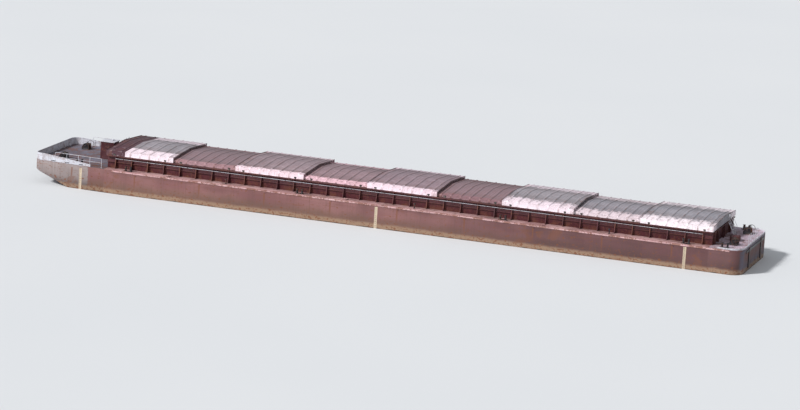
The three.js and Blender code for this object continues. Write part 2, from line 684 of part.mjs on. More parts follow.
// Companion hood over the way down to the fore tank, with a pale roof and a door in its fore face.
function buildHood() {
  const { x0, long, wide, high, wall, eave, roof } = HOOD;
  const door = HOOD_DOOR;
  const half = wide / 2;
  const head = DEPTH + high;
  const sill = DEPTH + door.sill;
  const lintel = sill + door.high;
  const box = block(v3(x0, -half, DEPTH), v3(x0 + long, half, head));
  const room = block(
    v3(x0 + wall, -half + wall, DEPTH - 10),
    v3(x0 + long - wall, half - wall, head + 10),
  );
  const doorway = block(v3(x0 - 10, -door.wide / 2, sill), v3(x0 + wall + 10, door.wide / 2, lintel));
  const pin = { x: x0 - door.thick / 2 - 2.5, y: -door.wide / 2 - door.lap - 25 };
  const hinges = [sill + door.hingeIn, lintel - door.hingeIn].map((z) => v3(pin.x, pin.y, z));
  const up = v3(0, 0, 1);
  const lugs = hinges.flatMap((middle) =>
    hingeLugs(middle, up, (low, top) =>
      block(v3(pin.x, pin.y - 20, middle.z + low), v3(x0 + 5, pin.y + 20, middle.z + top)),
    ),
  );
  place("hood_walls", join([cut(box, [room, doorway]), ...lugs]), "coaming");
  place(
    "hood_roof",
    block(v3(x0 - eave, -half - eave, head), v3(x0 + long + eave, half + eave, head + roof)),
    "pale",
  );

  const leafHalf = door.wide / 2 + door.lap;
  const leaf = block(
    v3(x0 - door.thick, -leafHalf, sill - door.lap),
    v3(x0 - SEAT_GAP, leafHalf, lintel + door.lap),
  );
  const grip = { y: door.wide / 2 - 60, z: sill + door.high / 2, x: x0 - door.thick };
  const parts = [
    leaf,
    bar(v3(grip.x + 5, grip.y, grip.z), v3(grip.x - 60, grip.y, grip.z), 20),
    bar(v3(grip.x - 50, grip.y, grip.z - 30), v3(grip.x - 50, grip.y, grip.z + 200), 20),
  ];
  for (const middle of hinges) {
    parts.push(hingeKnuckle(middle, up));
    parts.push(block(v3(pin.x - 10, pin.y, middle.z - 60), v3(pin.x + 10, pin.y + 60, middle.z + 60)));
  }
  place("hood_door", join(parts), "coaming");
}

// Low trunk over the way down to the aft tank, with a lid hinged on its fore edge.
function buildHatch() {
  const { x0, y, long, wide, high, wall } = TRUNK;
  const half = wide / 2;
  const top = DEPTH + high;
  const box = block(v3(x0, y - half, DEPTH), v3(x0 + long, y + half, top));
  const shaft = block(
    v3(x0 + wall, y - half + wall, DEPTH - 10),
    v3(x0 + long - wall, y + half - wall, top + 10),
  );
  const pin = { x: x0 - LID.lap - LID.hingeOut, z: top + LID.thick / 2 };
  const hinges = [-LID.hingeY, LID.hingeY].map((dy) => v3(pin.x, y + dy, pin.z));
  const across = v3(0, 1, 0);
  const web = outline([
    [pin.x - 22, pin.z - 5],
    [pin.x - 14, pin.z - 34],
    [x0 + 5, top - 110],
    [x0 + 5, top - 8],
    [pin.x + 24, top - 8],
    [pin.x + 14, pin.z - 5],
  ]);
  const lugs = hinges.flatMap((middle) =>
    hingeLugs(middle, across, (low, far) => alongY(web, middle.y + low, middle.y + far)),
  );
  place("hatch_trunk", join([box.subtract(shaft), ...lugs]), "coaming");

  const foreEdge = x0 - LID.lap;
  const plate = block(
    v3(foreEdge, y - half - LID.lap, top + SEAT_GAP),
    v3(x0 + long + LID.lap, y + half + LID.lap, top + LID.thick),
  );
  const parts = [plate];
  for (const middle of hinges) {
    parts.push(hingeKnuckle(middle, across));
    parts.push(block(v3(pin.x, middle.y - 50, top + 8), v3(foreEdge + 10, middle.y + 50, top + 32)));
  }
  const grip = { x: x0 + long - 60, half: 110, low: top + LID.thick - 10, high: top + 100 };
  for (const dy of [-grip.half, grip.half]) {
    parts.push(bar(v3(grip.x, y + dy, grip.low), v3(grip.x, y + dy, grip.high + 10), 14));
  }
  parts.push(bar(v3(grip.x, y - grip.half - 14, grip.high), v3(grip.x, y + grip.half + 14, grip.high), 14));
  place("hatch_lid", join(parts), "coaming");
}

// Steps over the end coamings, with handrails.
function buildSteps() {
  const { y, wide, string, stringDeep, tread, treadDeep, treads } = STEPS;
  const { clear, run, railHigh, postBack } = STEPS_RUN;
  const { tube } = RAILING;
  for (const { name, face, out } of HOLD_ENDS) {
    const near = face + out * clear;
    const far = near + out * run;
    const stringer = outline([
      [far, DEPTH],
      [far + out * stringDeep, DEPTH],
      [near + out * stringDeep, COAMING_TOP],
      [near, COAMING_TOP],
    ]);
    const parts = [];
    for (const sy of [y - wide / 2, y + wide / 2]) {
      const footX = far + out * postBack;
      const headX = near + out * postBack;
      const footTop = v3(footX, sy, DEPTH + railHigh);
      const headTop = v3(headX, sy, COAMING_TOP + railHigh);
      parts.push(alongY(stringer, sy - string / 2, sy + string / 2));
      parts.push(bar(v3(footX, sy, DEPTH + postBack), footTop, tube));
      parts.push(bar(v3(headX, sy, COAMING_TOP - postBack), headTop, tube));
      parts.push(bar(footTop, headTop, tube));
    }
    for (let i = 1; i <= treads; i++) {
      const share = i / (treads + 0.4);
      const x = far + (near - far) * share + (out * stringDeep) / 2;
      const z = DEPTH + COAMING.height * share;
      const corner = v3(x - treadDeep / 2, y - wide / 2, z - tread);
      parts.push(block(corner, v3(x + treadDeep / 2, y + wide / 2, z)));
    }
    place(`ladder_${name}`, join(parts), "pale");
  }
}

// An open run of posts with a top and a middle bar, through [x, y] points on the deck.
function railing(points) {
  const { high, mid, tube } = RAILING;
  const parts = points.map(([x, y]) => bar(v3(x, y, DEPTH), v3(x, y, DEPTH + high), tube));
  for (const z of [DEPTH + mid, DEPTH + high - tube]) {
    for (let i = 1; i < points.length; i++) {
      parts.push(bar(v3(...points[i - 1], z), v3(...points[i], z), tube));
    }
  }
  return join(parts);
}

function buildRailings() {
  const across = [-2000, -1000, 0, 1000, 2000].map((y) => [HULL_STERN - 260, y]);
  place("railing_stern", railing(across), "pale");
  for (const { name, sign } of SIDES) {
    const along = [0, 1, 2, 3, 4].map((i) => {
      const x = HULL_BOW + 2300 + i * 1350;
      return [x, sign * (halfWidthAt(x) - 230)];
    });
    place(`railing_bow_${name}`, railing(along), "pale");
  }
}

// Rung ladders down the hold's end walls.
function buildHoldLadders() {
  const { y, half, stand, tube, rung, pitch } = RUNGS;
  const top = COAMING_TOP - 200;
  for (const { name, face, out } of HOLD_ENDS) {
    const x = face - out * stand;
    const parts = [];
    for (const sy of [y - half, y + half]) {
      parts.push(bar(v3(x, sy, TANK_TOP), v3(x, sy, top), tube));
      parts.push(bar(v3(x, sy, TANK_TOP + pitch), v3(face, sy, TANK_TOP + pitch), 20));
      parts.push(bar(v3(x, sy, top - 200), v3(face, sy, top - 200), 20));
    }
    for (let z = TANK_TOP + pitch; z < top; z += pitch) {
      parts.push(bar(v3(x, y - half, z), v3(x, y + half, z), rung));
    }
    place(`hold_ladder_${name}`, join(parts), "deck");
  }
}

buildHull();
buildDecks();
buildStrakes();
buildEndBars();
buildBulwark();
buildToePlate();
buildSideCoamings();
buildEndCoamings();
buildCovers();
buildWinches();
buildEndBollards();
buildHood();
buildHatch();
buildSteps();
buildRailings();
buildHoldLadders();

export default barge;
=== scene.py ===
"""Visual model of the river barge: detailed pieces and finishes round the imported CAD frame.

Sizes are the full-size vessel's, in millimetres, as in the part's source, and the bench brings them to the
1:2 model. x runs aft from bow to stern, y to starboard and z up, from the middle of the flat bottom.
"""

from __future__ import annotations

import json
import logging
import math
import random
from collections.abc import Callable
from dataclasses import dataclass, field
from enum import Enum
from typing import Any

import bmesh
import bpy
from mathutils import Matrix, Vector

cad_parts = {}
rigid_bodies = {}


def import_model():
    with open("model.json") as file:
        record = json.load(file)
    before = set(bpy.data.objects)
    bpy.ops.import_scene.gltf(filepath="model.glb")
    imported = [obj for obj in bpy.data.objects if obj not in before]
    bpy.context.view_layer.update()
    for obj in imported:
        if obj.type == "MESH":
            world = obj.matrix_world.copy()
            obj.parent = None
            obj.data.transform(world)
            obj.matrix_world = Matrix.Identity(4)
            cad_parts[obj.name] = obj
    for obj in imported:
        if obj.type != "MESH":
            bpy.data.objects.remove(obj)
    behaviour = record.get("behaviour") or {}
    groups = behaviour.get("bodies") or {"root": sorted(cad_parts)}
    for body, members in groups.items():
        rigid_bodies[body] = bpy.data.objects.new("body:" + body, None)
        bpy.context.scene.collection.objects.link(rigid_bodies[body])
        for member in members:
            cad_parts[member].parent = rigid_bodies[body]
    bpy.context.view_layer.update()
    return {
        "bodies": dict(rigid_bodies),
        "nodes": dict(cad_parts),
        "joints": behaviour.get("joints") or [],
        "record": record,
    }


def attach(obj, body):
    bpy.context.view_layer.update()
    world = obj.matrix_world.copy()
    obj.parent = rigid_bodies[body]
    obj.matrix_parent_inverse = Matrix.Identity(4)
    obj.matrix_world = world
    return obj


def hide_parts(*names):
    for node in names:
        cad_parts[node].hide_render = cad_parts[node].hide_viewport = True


LOG = logging.getLogger("barge")
MM = 0.0005  # metres of model for one millimetre of the full-size vessel
SQUARE = 0.9  # a normal or an edge with more than this share along an axis follows it
BEND_STEPS = 5  # pieces that a pipe's bend is made of

Point = tuple[float, float, float]
Colour = tuple[float, float, float, float]
Piece = bpy.types.Object
Paint = bpy.types.Material
PlaceTest = Callable[[Vector, Vector], bool]

# Sizes that several sub-assemblies share, with the names they have in the part's source
LENGTH = 76500
DEPTH = 3100
WATERLINE = 600
END_BAR = 80
HULL_BOW = -LENGTH / 2 + END_BAR
HULL_STERN = LENGTH / 2 - END_BAR
HALF_BEAM = 5700
HEAD_HALF = 5150
HEAD_TAPER = 9000
STERN_CORNER = 1300
HOLD_FORE = HULL_BOW + 8100
HOLD_LENGTH = 64800
HOLD_AFT = HOLD_FORE + HOLD_LENGTH
HOLD_HALF = 4450
TANK_TOP = 500
COAMING_TOP = DEPTH + 1300
RAIL_TOP = COAMING_TOP + 60
BAYS = 9
BAY = HOLD_LENGTH / BAYS
PRIMED = 1980  # how far aft the first cover wears primer
HIGH_SKIRT = 4800
LOW_SKIRT = 4570
DECK_GRIP = DEPTH - 2  # feet reach 2 mm into the deck, so that no light shows under them


class Axis(Enum):
    """The vessel's axes, as places in a vector."""

    X = 0
    Y = 1
    Z = 2


class Side(Enum):
    """The two sides of the vessel, as the sign of y."""

    PORT = -1
    STARBOARD = 1

    @property
    def word(self) -> str:
        """The side's name as the CAD nodes write it."""
        return self.name.lower()


class End(Enum):
    """The two ends of the hold, as the sign of x that points out of it."""

    FORE = -1
    AFT = 1

    @property
    def word(self) -> str:
        """The end's name as the CAD nodes write it."""
        return self.name.lower()

    @property
    def face(self) -> float:
        """Where the hold's end wall stands."""
        return HOLD_FORE if self is End.FORE else HOLD_AFT


def is_high(number: int) -> bool:
    """Whether a cover, counted from the bow, is one of the high ones."""
    return number % 2 == 1


def circle(count: int, radius: float, start: float = 0) -> list[tuple[float, float]]:
    """Points at equal angles round a circle about nought.

    Args:
        count: How many.
        radius: The circle's radius.
        start: The first one's angle, in degrees.

    Returns:
        The two coordinates of each.
    """
    turns = [math.radians(start + 360 / count * i) for i in range(count)]
    return [(radius * math.cos(turn), radius * math.sin(turn)) for turn in turns]


def half_width(x: float) -> float:
    """Half-width of the deck's edge, which draws in towards the head.

    Args:
        x: Place along the vessel.

    Returns:
        Distance from the centreline to the shell plating.
    """
    share = min(1.0, (x - HULL_BOW) / HEAD_TAPER)
    return HEAD_HALF + (HALF_BEAM - HEAD_HALF) * share


class Bench:
    """The modelling bench: Blender's operators, fed with full-size millimetres."""

    @staticmethod
    def clear() -> None:
        """Leave edit mode and deselect everything."""
        if bpy.context.mode != "OBJECT":
            bpy.ops.object.mode_set(mode="OBJECT")
        bpy.ops.object.select_all(action="DESELECT")

    @staticmethod
    def take(*pieces: Piece) -> None:
        """Select these pieces alone, with the first one active.

        Args:
            *pieces: What is selected.
        """
        Bench.clear()
        for piece in pieces:
            piece.select_set(True)
        bpy.context.view_layer.objects.active = pieces[0]

    @staticmethod
    def settle() -> Piece:
        """Move the new primitive's place, turn and size into its mesh."""
        bpy.ops.object.transform_apply(location=True, rotation=True, scale=True)
        return bpy.context.object

    @staticmethod
    def block(low: Point, high: Point) -> Piece:
        """Start from a cube between two corners.

        Args:
            low: One corner.
            high: The opposite corner.

        Returns:
            The new mesh object.
        """
        Bench.clear()
        middle = (Vector(low) + Vector(high)) / 2
        bpy.ops.mesh.primitive_cube_add(size=1, location=middle * MM)
        size = Vector(high) - Vector(low)
        bpy.context.object.scale = [abs(s) * MM for s in size]
        return Bench.settle()

    @staticmethod
    def rod(start: Point, end: Point, radius: float, sides: int = 16, tip: float | None = None) -> Piece:
        """Start from a cylinder or cone between two points.

        Args:
            start: Middle of its first end.
            end: Middle of its last end.
            radius: Radius at the start.
            sides: Number of flats round it.
            tip: Radius at the end, if it differs.

        Returns:
            The new mesh object.
        """
        Bench.clear()
        way = Vector(end) - Vector(start)
        bpy.ops.mesh.primitive_cone_add(
            vertices=sides,
            radius1=radius * MM,
            radius2=(radius if tip is None else tip) * MM,
            depth=way.length * MM,
            location=(Vector(start) + Vector(end)) / 2 * MM,
            rotation=way.to_track_quat("Z", "Y").to_euler(),
        )
        return Bench.settle()

    @staticmethod
    def ring(middle: Point, radius: float, tube: float, around: int = 48, sides: int = 10) -> Piece:
        """Start from a torus about a line along y.

        Args:
            middle: Its centre.
            radius: Radius of the tube's centreline.
            tube: Radius of the tube.
            around: Steps round the ring.
            sides: Steps round the tube.

        Returns:
            The new mesh object.
        """
        Bench.clear()
        bpy.ops.mesh.primitive_torus_add(
            major_segments=around,
            minor_segments=sides,
            major_radius=radius * MM,
            minor_radius=tube * MM,
            location=Vector(middle) * MM,
            rotation=(math.pi / 2, 0, 0),
        )
        return Bench.settle()

    @staticmethod
    def pipe(points: list[Point], radius: float, bends: float | list[float] = 70, fine: int = 3) -> Piece:
        """A bent pipe through points, with rounded corners and closed ends.

        Args:
            points: The corners of its centreline.
            radius: Radius of the pipe.
            bends: How far before each corner the bend starts, for all corners or one by one.
            fine: Bevel resolution of its round section.

        Returns:
            The new mesh object.
        """
        route = [Vector(points[0])]
        if not isinstance(bends, list):
            bends = [bends] * (len(points) - 2)
        for before, corner, after, bend in zip(points, points[1:], points[2:], bends):
            here = Vector(corner)
            start = here + (Vector(before) - here).normalized() * bend
            end = here + (Vector(after) - here).normalized() * bend
            for step in range(BEND_STEPS + 1):
                share = step / BEND_STEPS
                route.append(start.lerp(here, share).lerp(here.lerp(end, share), share))
        route.append(Vector(points[-1]))
        line = bpy.data.curves.new("pipe", "CURVE")
        line.dimensions = "3D"
        line.bevel_depth = radius * MM
        line.bevel_resolution = fine
        line.use_fill_caps = True
        spline = line.splines.new("POLY")
        spline.points.add(len(route) - 1)
        for knot, place in zip(spline.points, route):
            knot.co = (*(place * MM), 1)
        piece = bpy.data.objects.new("pipe", line)
        bpy.context.scene.collection.objects.link(piece)
        Bench.take(piece)
        bpy.ops.object.convert(target="MESH")
        piece = bpy.context.object
        with Shaping(piece) as shape:
            shape.mend()
        return Bench.smooth(piece, 50)

    @staticmethod
    def handle(start: Point, end: Point, out: Point, radius: float, bend: float, fine: int = 3) -> Piece:
        """A pipe that stands off its two feet, as grips and railings do.

        Args:
            start: One foot.
            end: The other foot.
            out: How far its straight part stands off them, and which way.
            radius: Radius of the pipe.
            bend: How far before each corner the bend starts.
            fine: Bevel resolution of its round section.

        Returns:
            The new mesh object.
        """
        raised = [tuple(Vector(foot) + Vector(out)) for foot in (start, end)]
        return Bench.pipe([start, *raised, end], radius, bend, fine)

    @staticmethod
    def wing(low: Point, high: Point, lift: float) -> Piece:
        """The wing of a wing nut: a flat bar along x with both its tips set up or down.

        Args:
            low: One corner.
            high: The opposite corner.
            lift: How far its tips are set up.

        Returns:
            The new mesh object.
        """
        middle = (low[0] + high[0]) / 2
        reach = 0.4 * (high[0] - low[0])
        wing = Bench.block(low, high)
        with Shaping(wing) as shape:
            shape.lengthwise(Axis.X).subdivide(3)
            shape.points(lambda at, normal: abs(at.x - middle) > reach).move((0, 0, lift))
        return wing

    @staticmethod
    def from_node(node: Piece) -> Piece:
        """A merged copy of a CAD node, whose own mesh is left alone.

        Args:
            node: The CAD node's object.

        Returns:
            The new mesh object, in flat faces.
        """
        Bench.clear()
        piece = bpy.data.objects.new("copy", node.data.copy())
        bpy.context.scene.collection.objects.link(piece)
        piece.data.materials.clear()
        Bench.take(piece)
        bpy.ops.mesh.customdata_custom_splitnormals_clear()
        with Shaping(piece) as shape:
            bpy.ops.mesh.select_all(action="SELECT")
            bpy.ops.mesh.remove_doubles(threshold=2e-5)
            bpy.ops.mesh.dissolve_limited(angle_limit=math.radians(0.4))
            shape.drop_selection()
        return piece

    @staticmethod
    def modify(piece: Piece, kind: str, **settings: Any) -> Piece:
        """Add one modifier with its settings and apply it.

        Args:
            piece: The piece that gets it.
            kind: Blender's name for the modifier.
            **settings: Its properties.

        Returns:
            The same piece.
        """
        Bench.take(piece)
        added = piece.modifiers.new(kind.lower(), kind)
        for name, value in settings.items():
            setattr(added, name, value)
        bpy.ops.object.modifier_apply(modifier=added.name)
        return piece

    @staticmethod
    def soften(piece: Piece, width: float, segments: int = 2, angle: float = 40) -> Piece:
        """Round the edges sharper than an angle, as rolled and ground steel has them.

        Args:
            piece: The piece.
            width: How far from the edge the rounding starts.
            segments: Steps of the rounding.
            angle: The angle, in degrees.

        Returns:
            The same piece.
        """
        Bench.modify(
            piece,
            "BEVEL",
            width=width * MM,
            segments=segments,
            limit_method="ANGLE",
            angle_limit=math.radians(angle),
            harden_normals=False,
        )
        return Bench.smooth(piece)

    @staticmethod
    def smooth(piece: Piece, angle: float = 35) -> Piece:
        """Shade smoothly across edges flatter than an angle.

        Args:
            piece: The piece.
            angle: The angle, in degrees.

        Returns:
            The same piece.
        """
        Bench.take(piece)
        bpy.ops.object.shade_smooth_by_angle(angle=math.radians(angle))
        return piece

    @staticmethod
    def repeat(piece: Piece, count: int, step: Point) -> Piece:
        """Copy a piece in a row within its own mesh.

        Args:
            piece: The piece.
            count: How many there are in the end.
            step: From one to the next.

        Returns:
            The same piece.
        """
        return Bench.modify(
            piece,
            "ARRAY",
            count=count,
            use_relative_offset=False,
            use_constant_offset=True,
            constant_offset_displace=Vector(step) * MM,
        )

    @staticmethod
    def copy(piece: Piece, move: Point, mirror: bool = False) -> Piece:
        """Copy a piece with its own mesh, then mirror and move the copy.

        Args:
            piece: What is copied.
            move: Where the copy goes from there.
            mirror: Whether port and starboard change places.

        Returns:
            The copy.
        """
        made = piece.copy()
        made.data = piece.data.copy()
        bpy.context.scene.collection.objects.link(made)
        turned = Matrix.Scale(-1 if mirror else 1, 4, (0, 1, 0))
        made.data.transform(Matrix.Translation(Vector(move) * MM) @ turned)
        if mirror:
            with Shaping(made) as shape:
                shape.mend()
        return made

    @staticmethod
    def join(*pieces: Piece) -> Piece:
        """Weld pieces into the first of them, which keeps all their finishes.

        Args:
            *pieces: What is joined.

        Returns:
            The first piece.
        """
        if len(pieces) > 1:
            Bench.take(*pieces)
            bpy.ops.object.join()
        return pieces[0]

    @staticmethod
    def coat(piece: Piece, paint: Paint, where: PlaceTest | None = None) -> Piece:
        """Give a piece its finish, or only the faces that pass a test.

        Args:
            piece: The piece.
            paint: The finish.
            where: Test on a face's middle and normal; without it every face gets the finish.

        Returns:
            The same piece.
        """
        if where is None:
            piece.data.materials.clear()
            piece.data.materials.append(paint)
            return piece
        piece.data.materials.append(paint)
        slot = len(piece.data.materials) - 1
        for face in piece.data.polygons:
            if where(face.center / MM, face.normal):
                face.material_index = slot
        return piece

    @staticmethod
    def press(piece: Piece, move: Callable[[Vector], Vector]) -> Piece:
        """Move each point of a mesh to where a rule puts it, both in full-size millimetres.

        Args:
            piece: The piece.
            move: Gives a point's new place.

        Returns:
            The same piece.
        """
        for point in piece.data.vertices:
            point.co = move(point.co / MM) * MM
        piece.data.update()
        return piece

    @staticmethod
    def drop(*pieces: Piece) -> None:
        """Remove patterns that have been copied."""
        for piece in pieces:
            bpy.data.objects.remove(piece)


class Shaping:
    """An edit-mode session on one piece, in which parts are picked by place and operators act on them."""

    def __init__(self, piece: Piece) -> None:
        """Remember the piece to be shaped."""
        self.piece = piece

    def __enter__(self) -> Shaping:
        """Open the piece's mesh with nothing picked.

        Returns:
            The session.
        """
        Bench.take(self.piece)
        bpy.ops.object.mode_set(mode="EDIT")
        bpy.ops.mesh.select_mode(type="FACE")
        self.drop_selection()
        return self

    def __exit__(self, *problem: object) -> None:
        """Close the mesh again."""
        bpy.ops.object.mode_set(mode="OBJECT")

    def drop_selection(self) -> Shaping:
        """Pick nothing."""
        bpy.ops.mesh.select_all(action="DESELECT")
        return self

    def _pick(self, kind: str, read: Callable[[Any], tuple[Vector, Vector]], test: PlaceTest) -> Shaping:
        """Pick faces, edges or points.

        Args:
            kind: Blender's selection mode.
            read: Gives the place and direction of one part.
            test: Whether a part at that place, with that direction, is picked.

        Returns:
            The session.
        """
        bpy.ops.mesh.select_mode(type=kind)
        bpy.ops.mesh.select_all(action="DESELECT")
        mesh = bmesh.from_edit_mesh(self.piece.data)
        parts = {"FACE": mesh.faces, "EDGE": mesh.edges, "VERT": mesh.verts}[kind]
        count = 0
        for part in parts:
            place, way = read(part)
            if test(place / MM, way):
                part.select_set(True)
                count += 1
        mesh.select_flush_mode()
        bmesh.update_edit_mesh(self.piece.data)
        if not count:
            LOG.warning("%s: nothing picked among its %s parts", self.piece.name, kind.lower())
        return self

    def faces(self, test: PlaceTest) -> Shaping:
        """Pick faces by their middle and normal."""
        return self._pick("FACE", lambda f: (f.calc_center_median(), f.normal), test)

    def facing(self, axis: Axis, sign: int = 1) -> Shaping:
        """Pick faces that look along an axis, or against it where the sign is -1."""
        return self.faces(lambda at, normal: normal[axis.value] * sign > SQUARE)

    def ends(self, axis: Axis) -> Shaping:
        """Pick faces that look along an axis either way."""
        return self.faces(lambda at, normal: abs(normal[axis.value]) > SQUARE)

    def lengthwise(self, axis: Axis) -> Shaping:
        """Pick edges that run along an axis."""
        return self.edges(lambda at, way: abs(way[axis.value]) > SQUARE)

    def edges(self, test: PlaceTest) -> Shaping:
        """Pick edges by their middle and direction.

        Args:
            test: Whether an edge with that middle and direction is picked.

        Returns:
            The session.
        """
        return self._pick(
            "EDGE",
            lambda e: ((e.verts[0].co + e.verts[1].co) / 2, (e.verts[1].co - e.verts[0].co).normalized()),
            test,
        )

    def points(self, test: PlaceTest) -> Shaping:
        """Pick points by their place and normal."""
        return self._pick("VERT", lambda v: (v.co, v.normal), test)

    def inset(self, width: float, depth: float = 0, each: bool = False) -> Shaping:
        """Inset what is picked, and raise or sink it along its normals.

        Args:
            width: How far in.
            depth: How far out along the normals, or in where it is below 0.
            each: Whether every face gets its own inset.

        Returns:
            The session.
        """
        sizes = {"thickness": width * MM, "depth": depth * MM}
        bpy.ops.mesh.inset(**sizes, use_even_offset=True, use_boundary=True, use_individual=each)
        return self

    def extrude(self, move: Point) -> Shaping:
        """Pull the picked faces out along a direction."""
        bpy.ops.mesh.extrude_region_move(TRANSFORM_OT_translate={"value": Vector(move) * MM})
        return self

    def move(self, move: Point) -> Shaping:
        """Move what is picked."""
        bpy.ops.transform.translate(value=Vector(move) * MM)
        return self

    def scale(self, factors: Point, middle: Point) -> Shaping:
        """Scale what is picked about a point."""
        bpy.ops.transform.resize(value=factors, center_override=Vector(middle) * MM)
        return self

    def bevel(self, width: float, segments: int) -> Shaping:
        """Round the picked edges."""
        bpy.ops.mesh.bevel(offset=width * MM, segments=segments, affect="EDGES")
        return self

    def subdivide(self, cuts: int) -> Shaping:
        """Cut the picked edges into equal lengths."""
        bpy.ops.mesh.subdivide(number_cuts=cuts)
        return self

    def slice(self, at: Point, normal: Point, off: bool = False) -> None:
        """Cut the whole mesh along a plane.

        Args:
            at: A point on the plane.
            normal: The plane's normal.
            off: Whether what lies beyond the plane is cut off and the wound closed.
        """
        bpy.ops.mesh.select_all(action="SELECT")
        bpy.ops.mesh.bisect(
            plane_co=Vector(at) * MM,
            plane_no=normal,
            clear_outer=off,
            use_fill=off,
            threshold=1e-6,
        )

    def delete(self) -> None:
        """Delete the picked faces."""
        bpy.ops.mesh.delete(type="FACE")

    def mend(self) -> None:
        """Merge doubled points and turn every face outwards."""
        bpy.ops.mesh.select_all(action="SELECT")
        bpy.ops.mesh.remove_doubles(threshold=1e-6)
        bpy.ops.mesh.normals_make_consistent(inside=False)


class Signal:
    """A value in a material's nodes that plain arithmetic works on, each operator adding its Math node."""

    def __init__(self, recipe: Recipe, socket: bpy.types.NodeSocket) -> None:
        """Wrap a node's output.

        Args:
            recipe: The material it belongs to.
            socket: The output it stands for.
        """
        self.recipe = recipe
        self.socket = socket

    def __add__(self, other: Signal | float) -> Signal:
        """Sum."""
        return self.recipe.math("ADD", self, other)

    def __sub__(self, other: Signal | float) -> Signal:
        """Difference."""
        return self.recipe.math("SUBTRACT", self, other)

    def __rsub__(self, other: float) -> Signal:
        """Difference from a number."""
        return self.recipe.math("SUBTRACT", other, self)

    def __mul__(self, other: Signal | float) -> Signal:
        """Product."""
        return self.recipe.math("MULTIPLY", self, other)

    def __truediv__(self, other: Signal | float) -> Signal:
        """Quotient."""
        return self.recipe.math("DIVIDE", self, other)

    def __abs__(self) -> Signal:
        """Distance from nought."""
        return self.recipe.math("ABSOLUTE", self, 0)

    __radd__ = __add__
    __rmul__ = __mul__


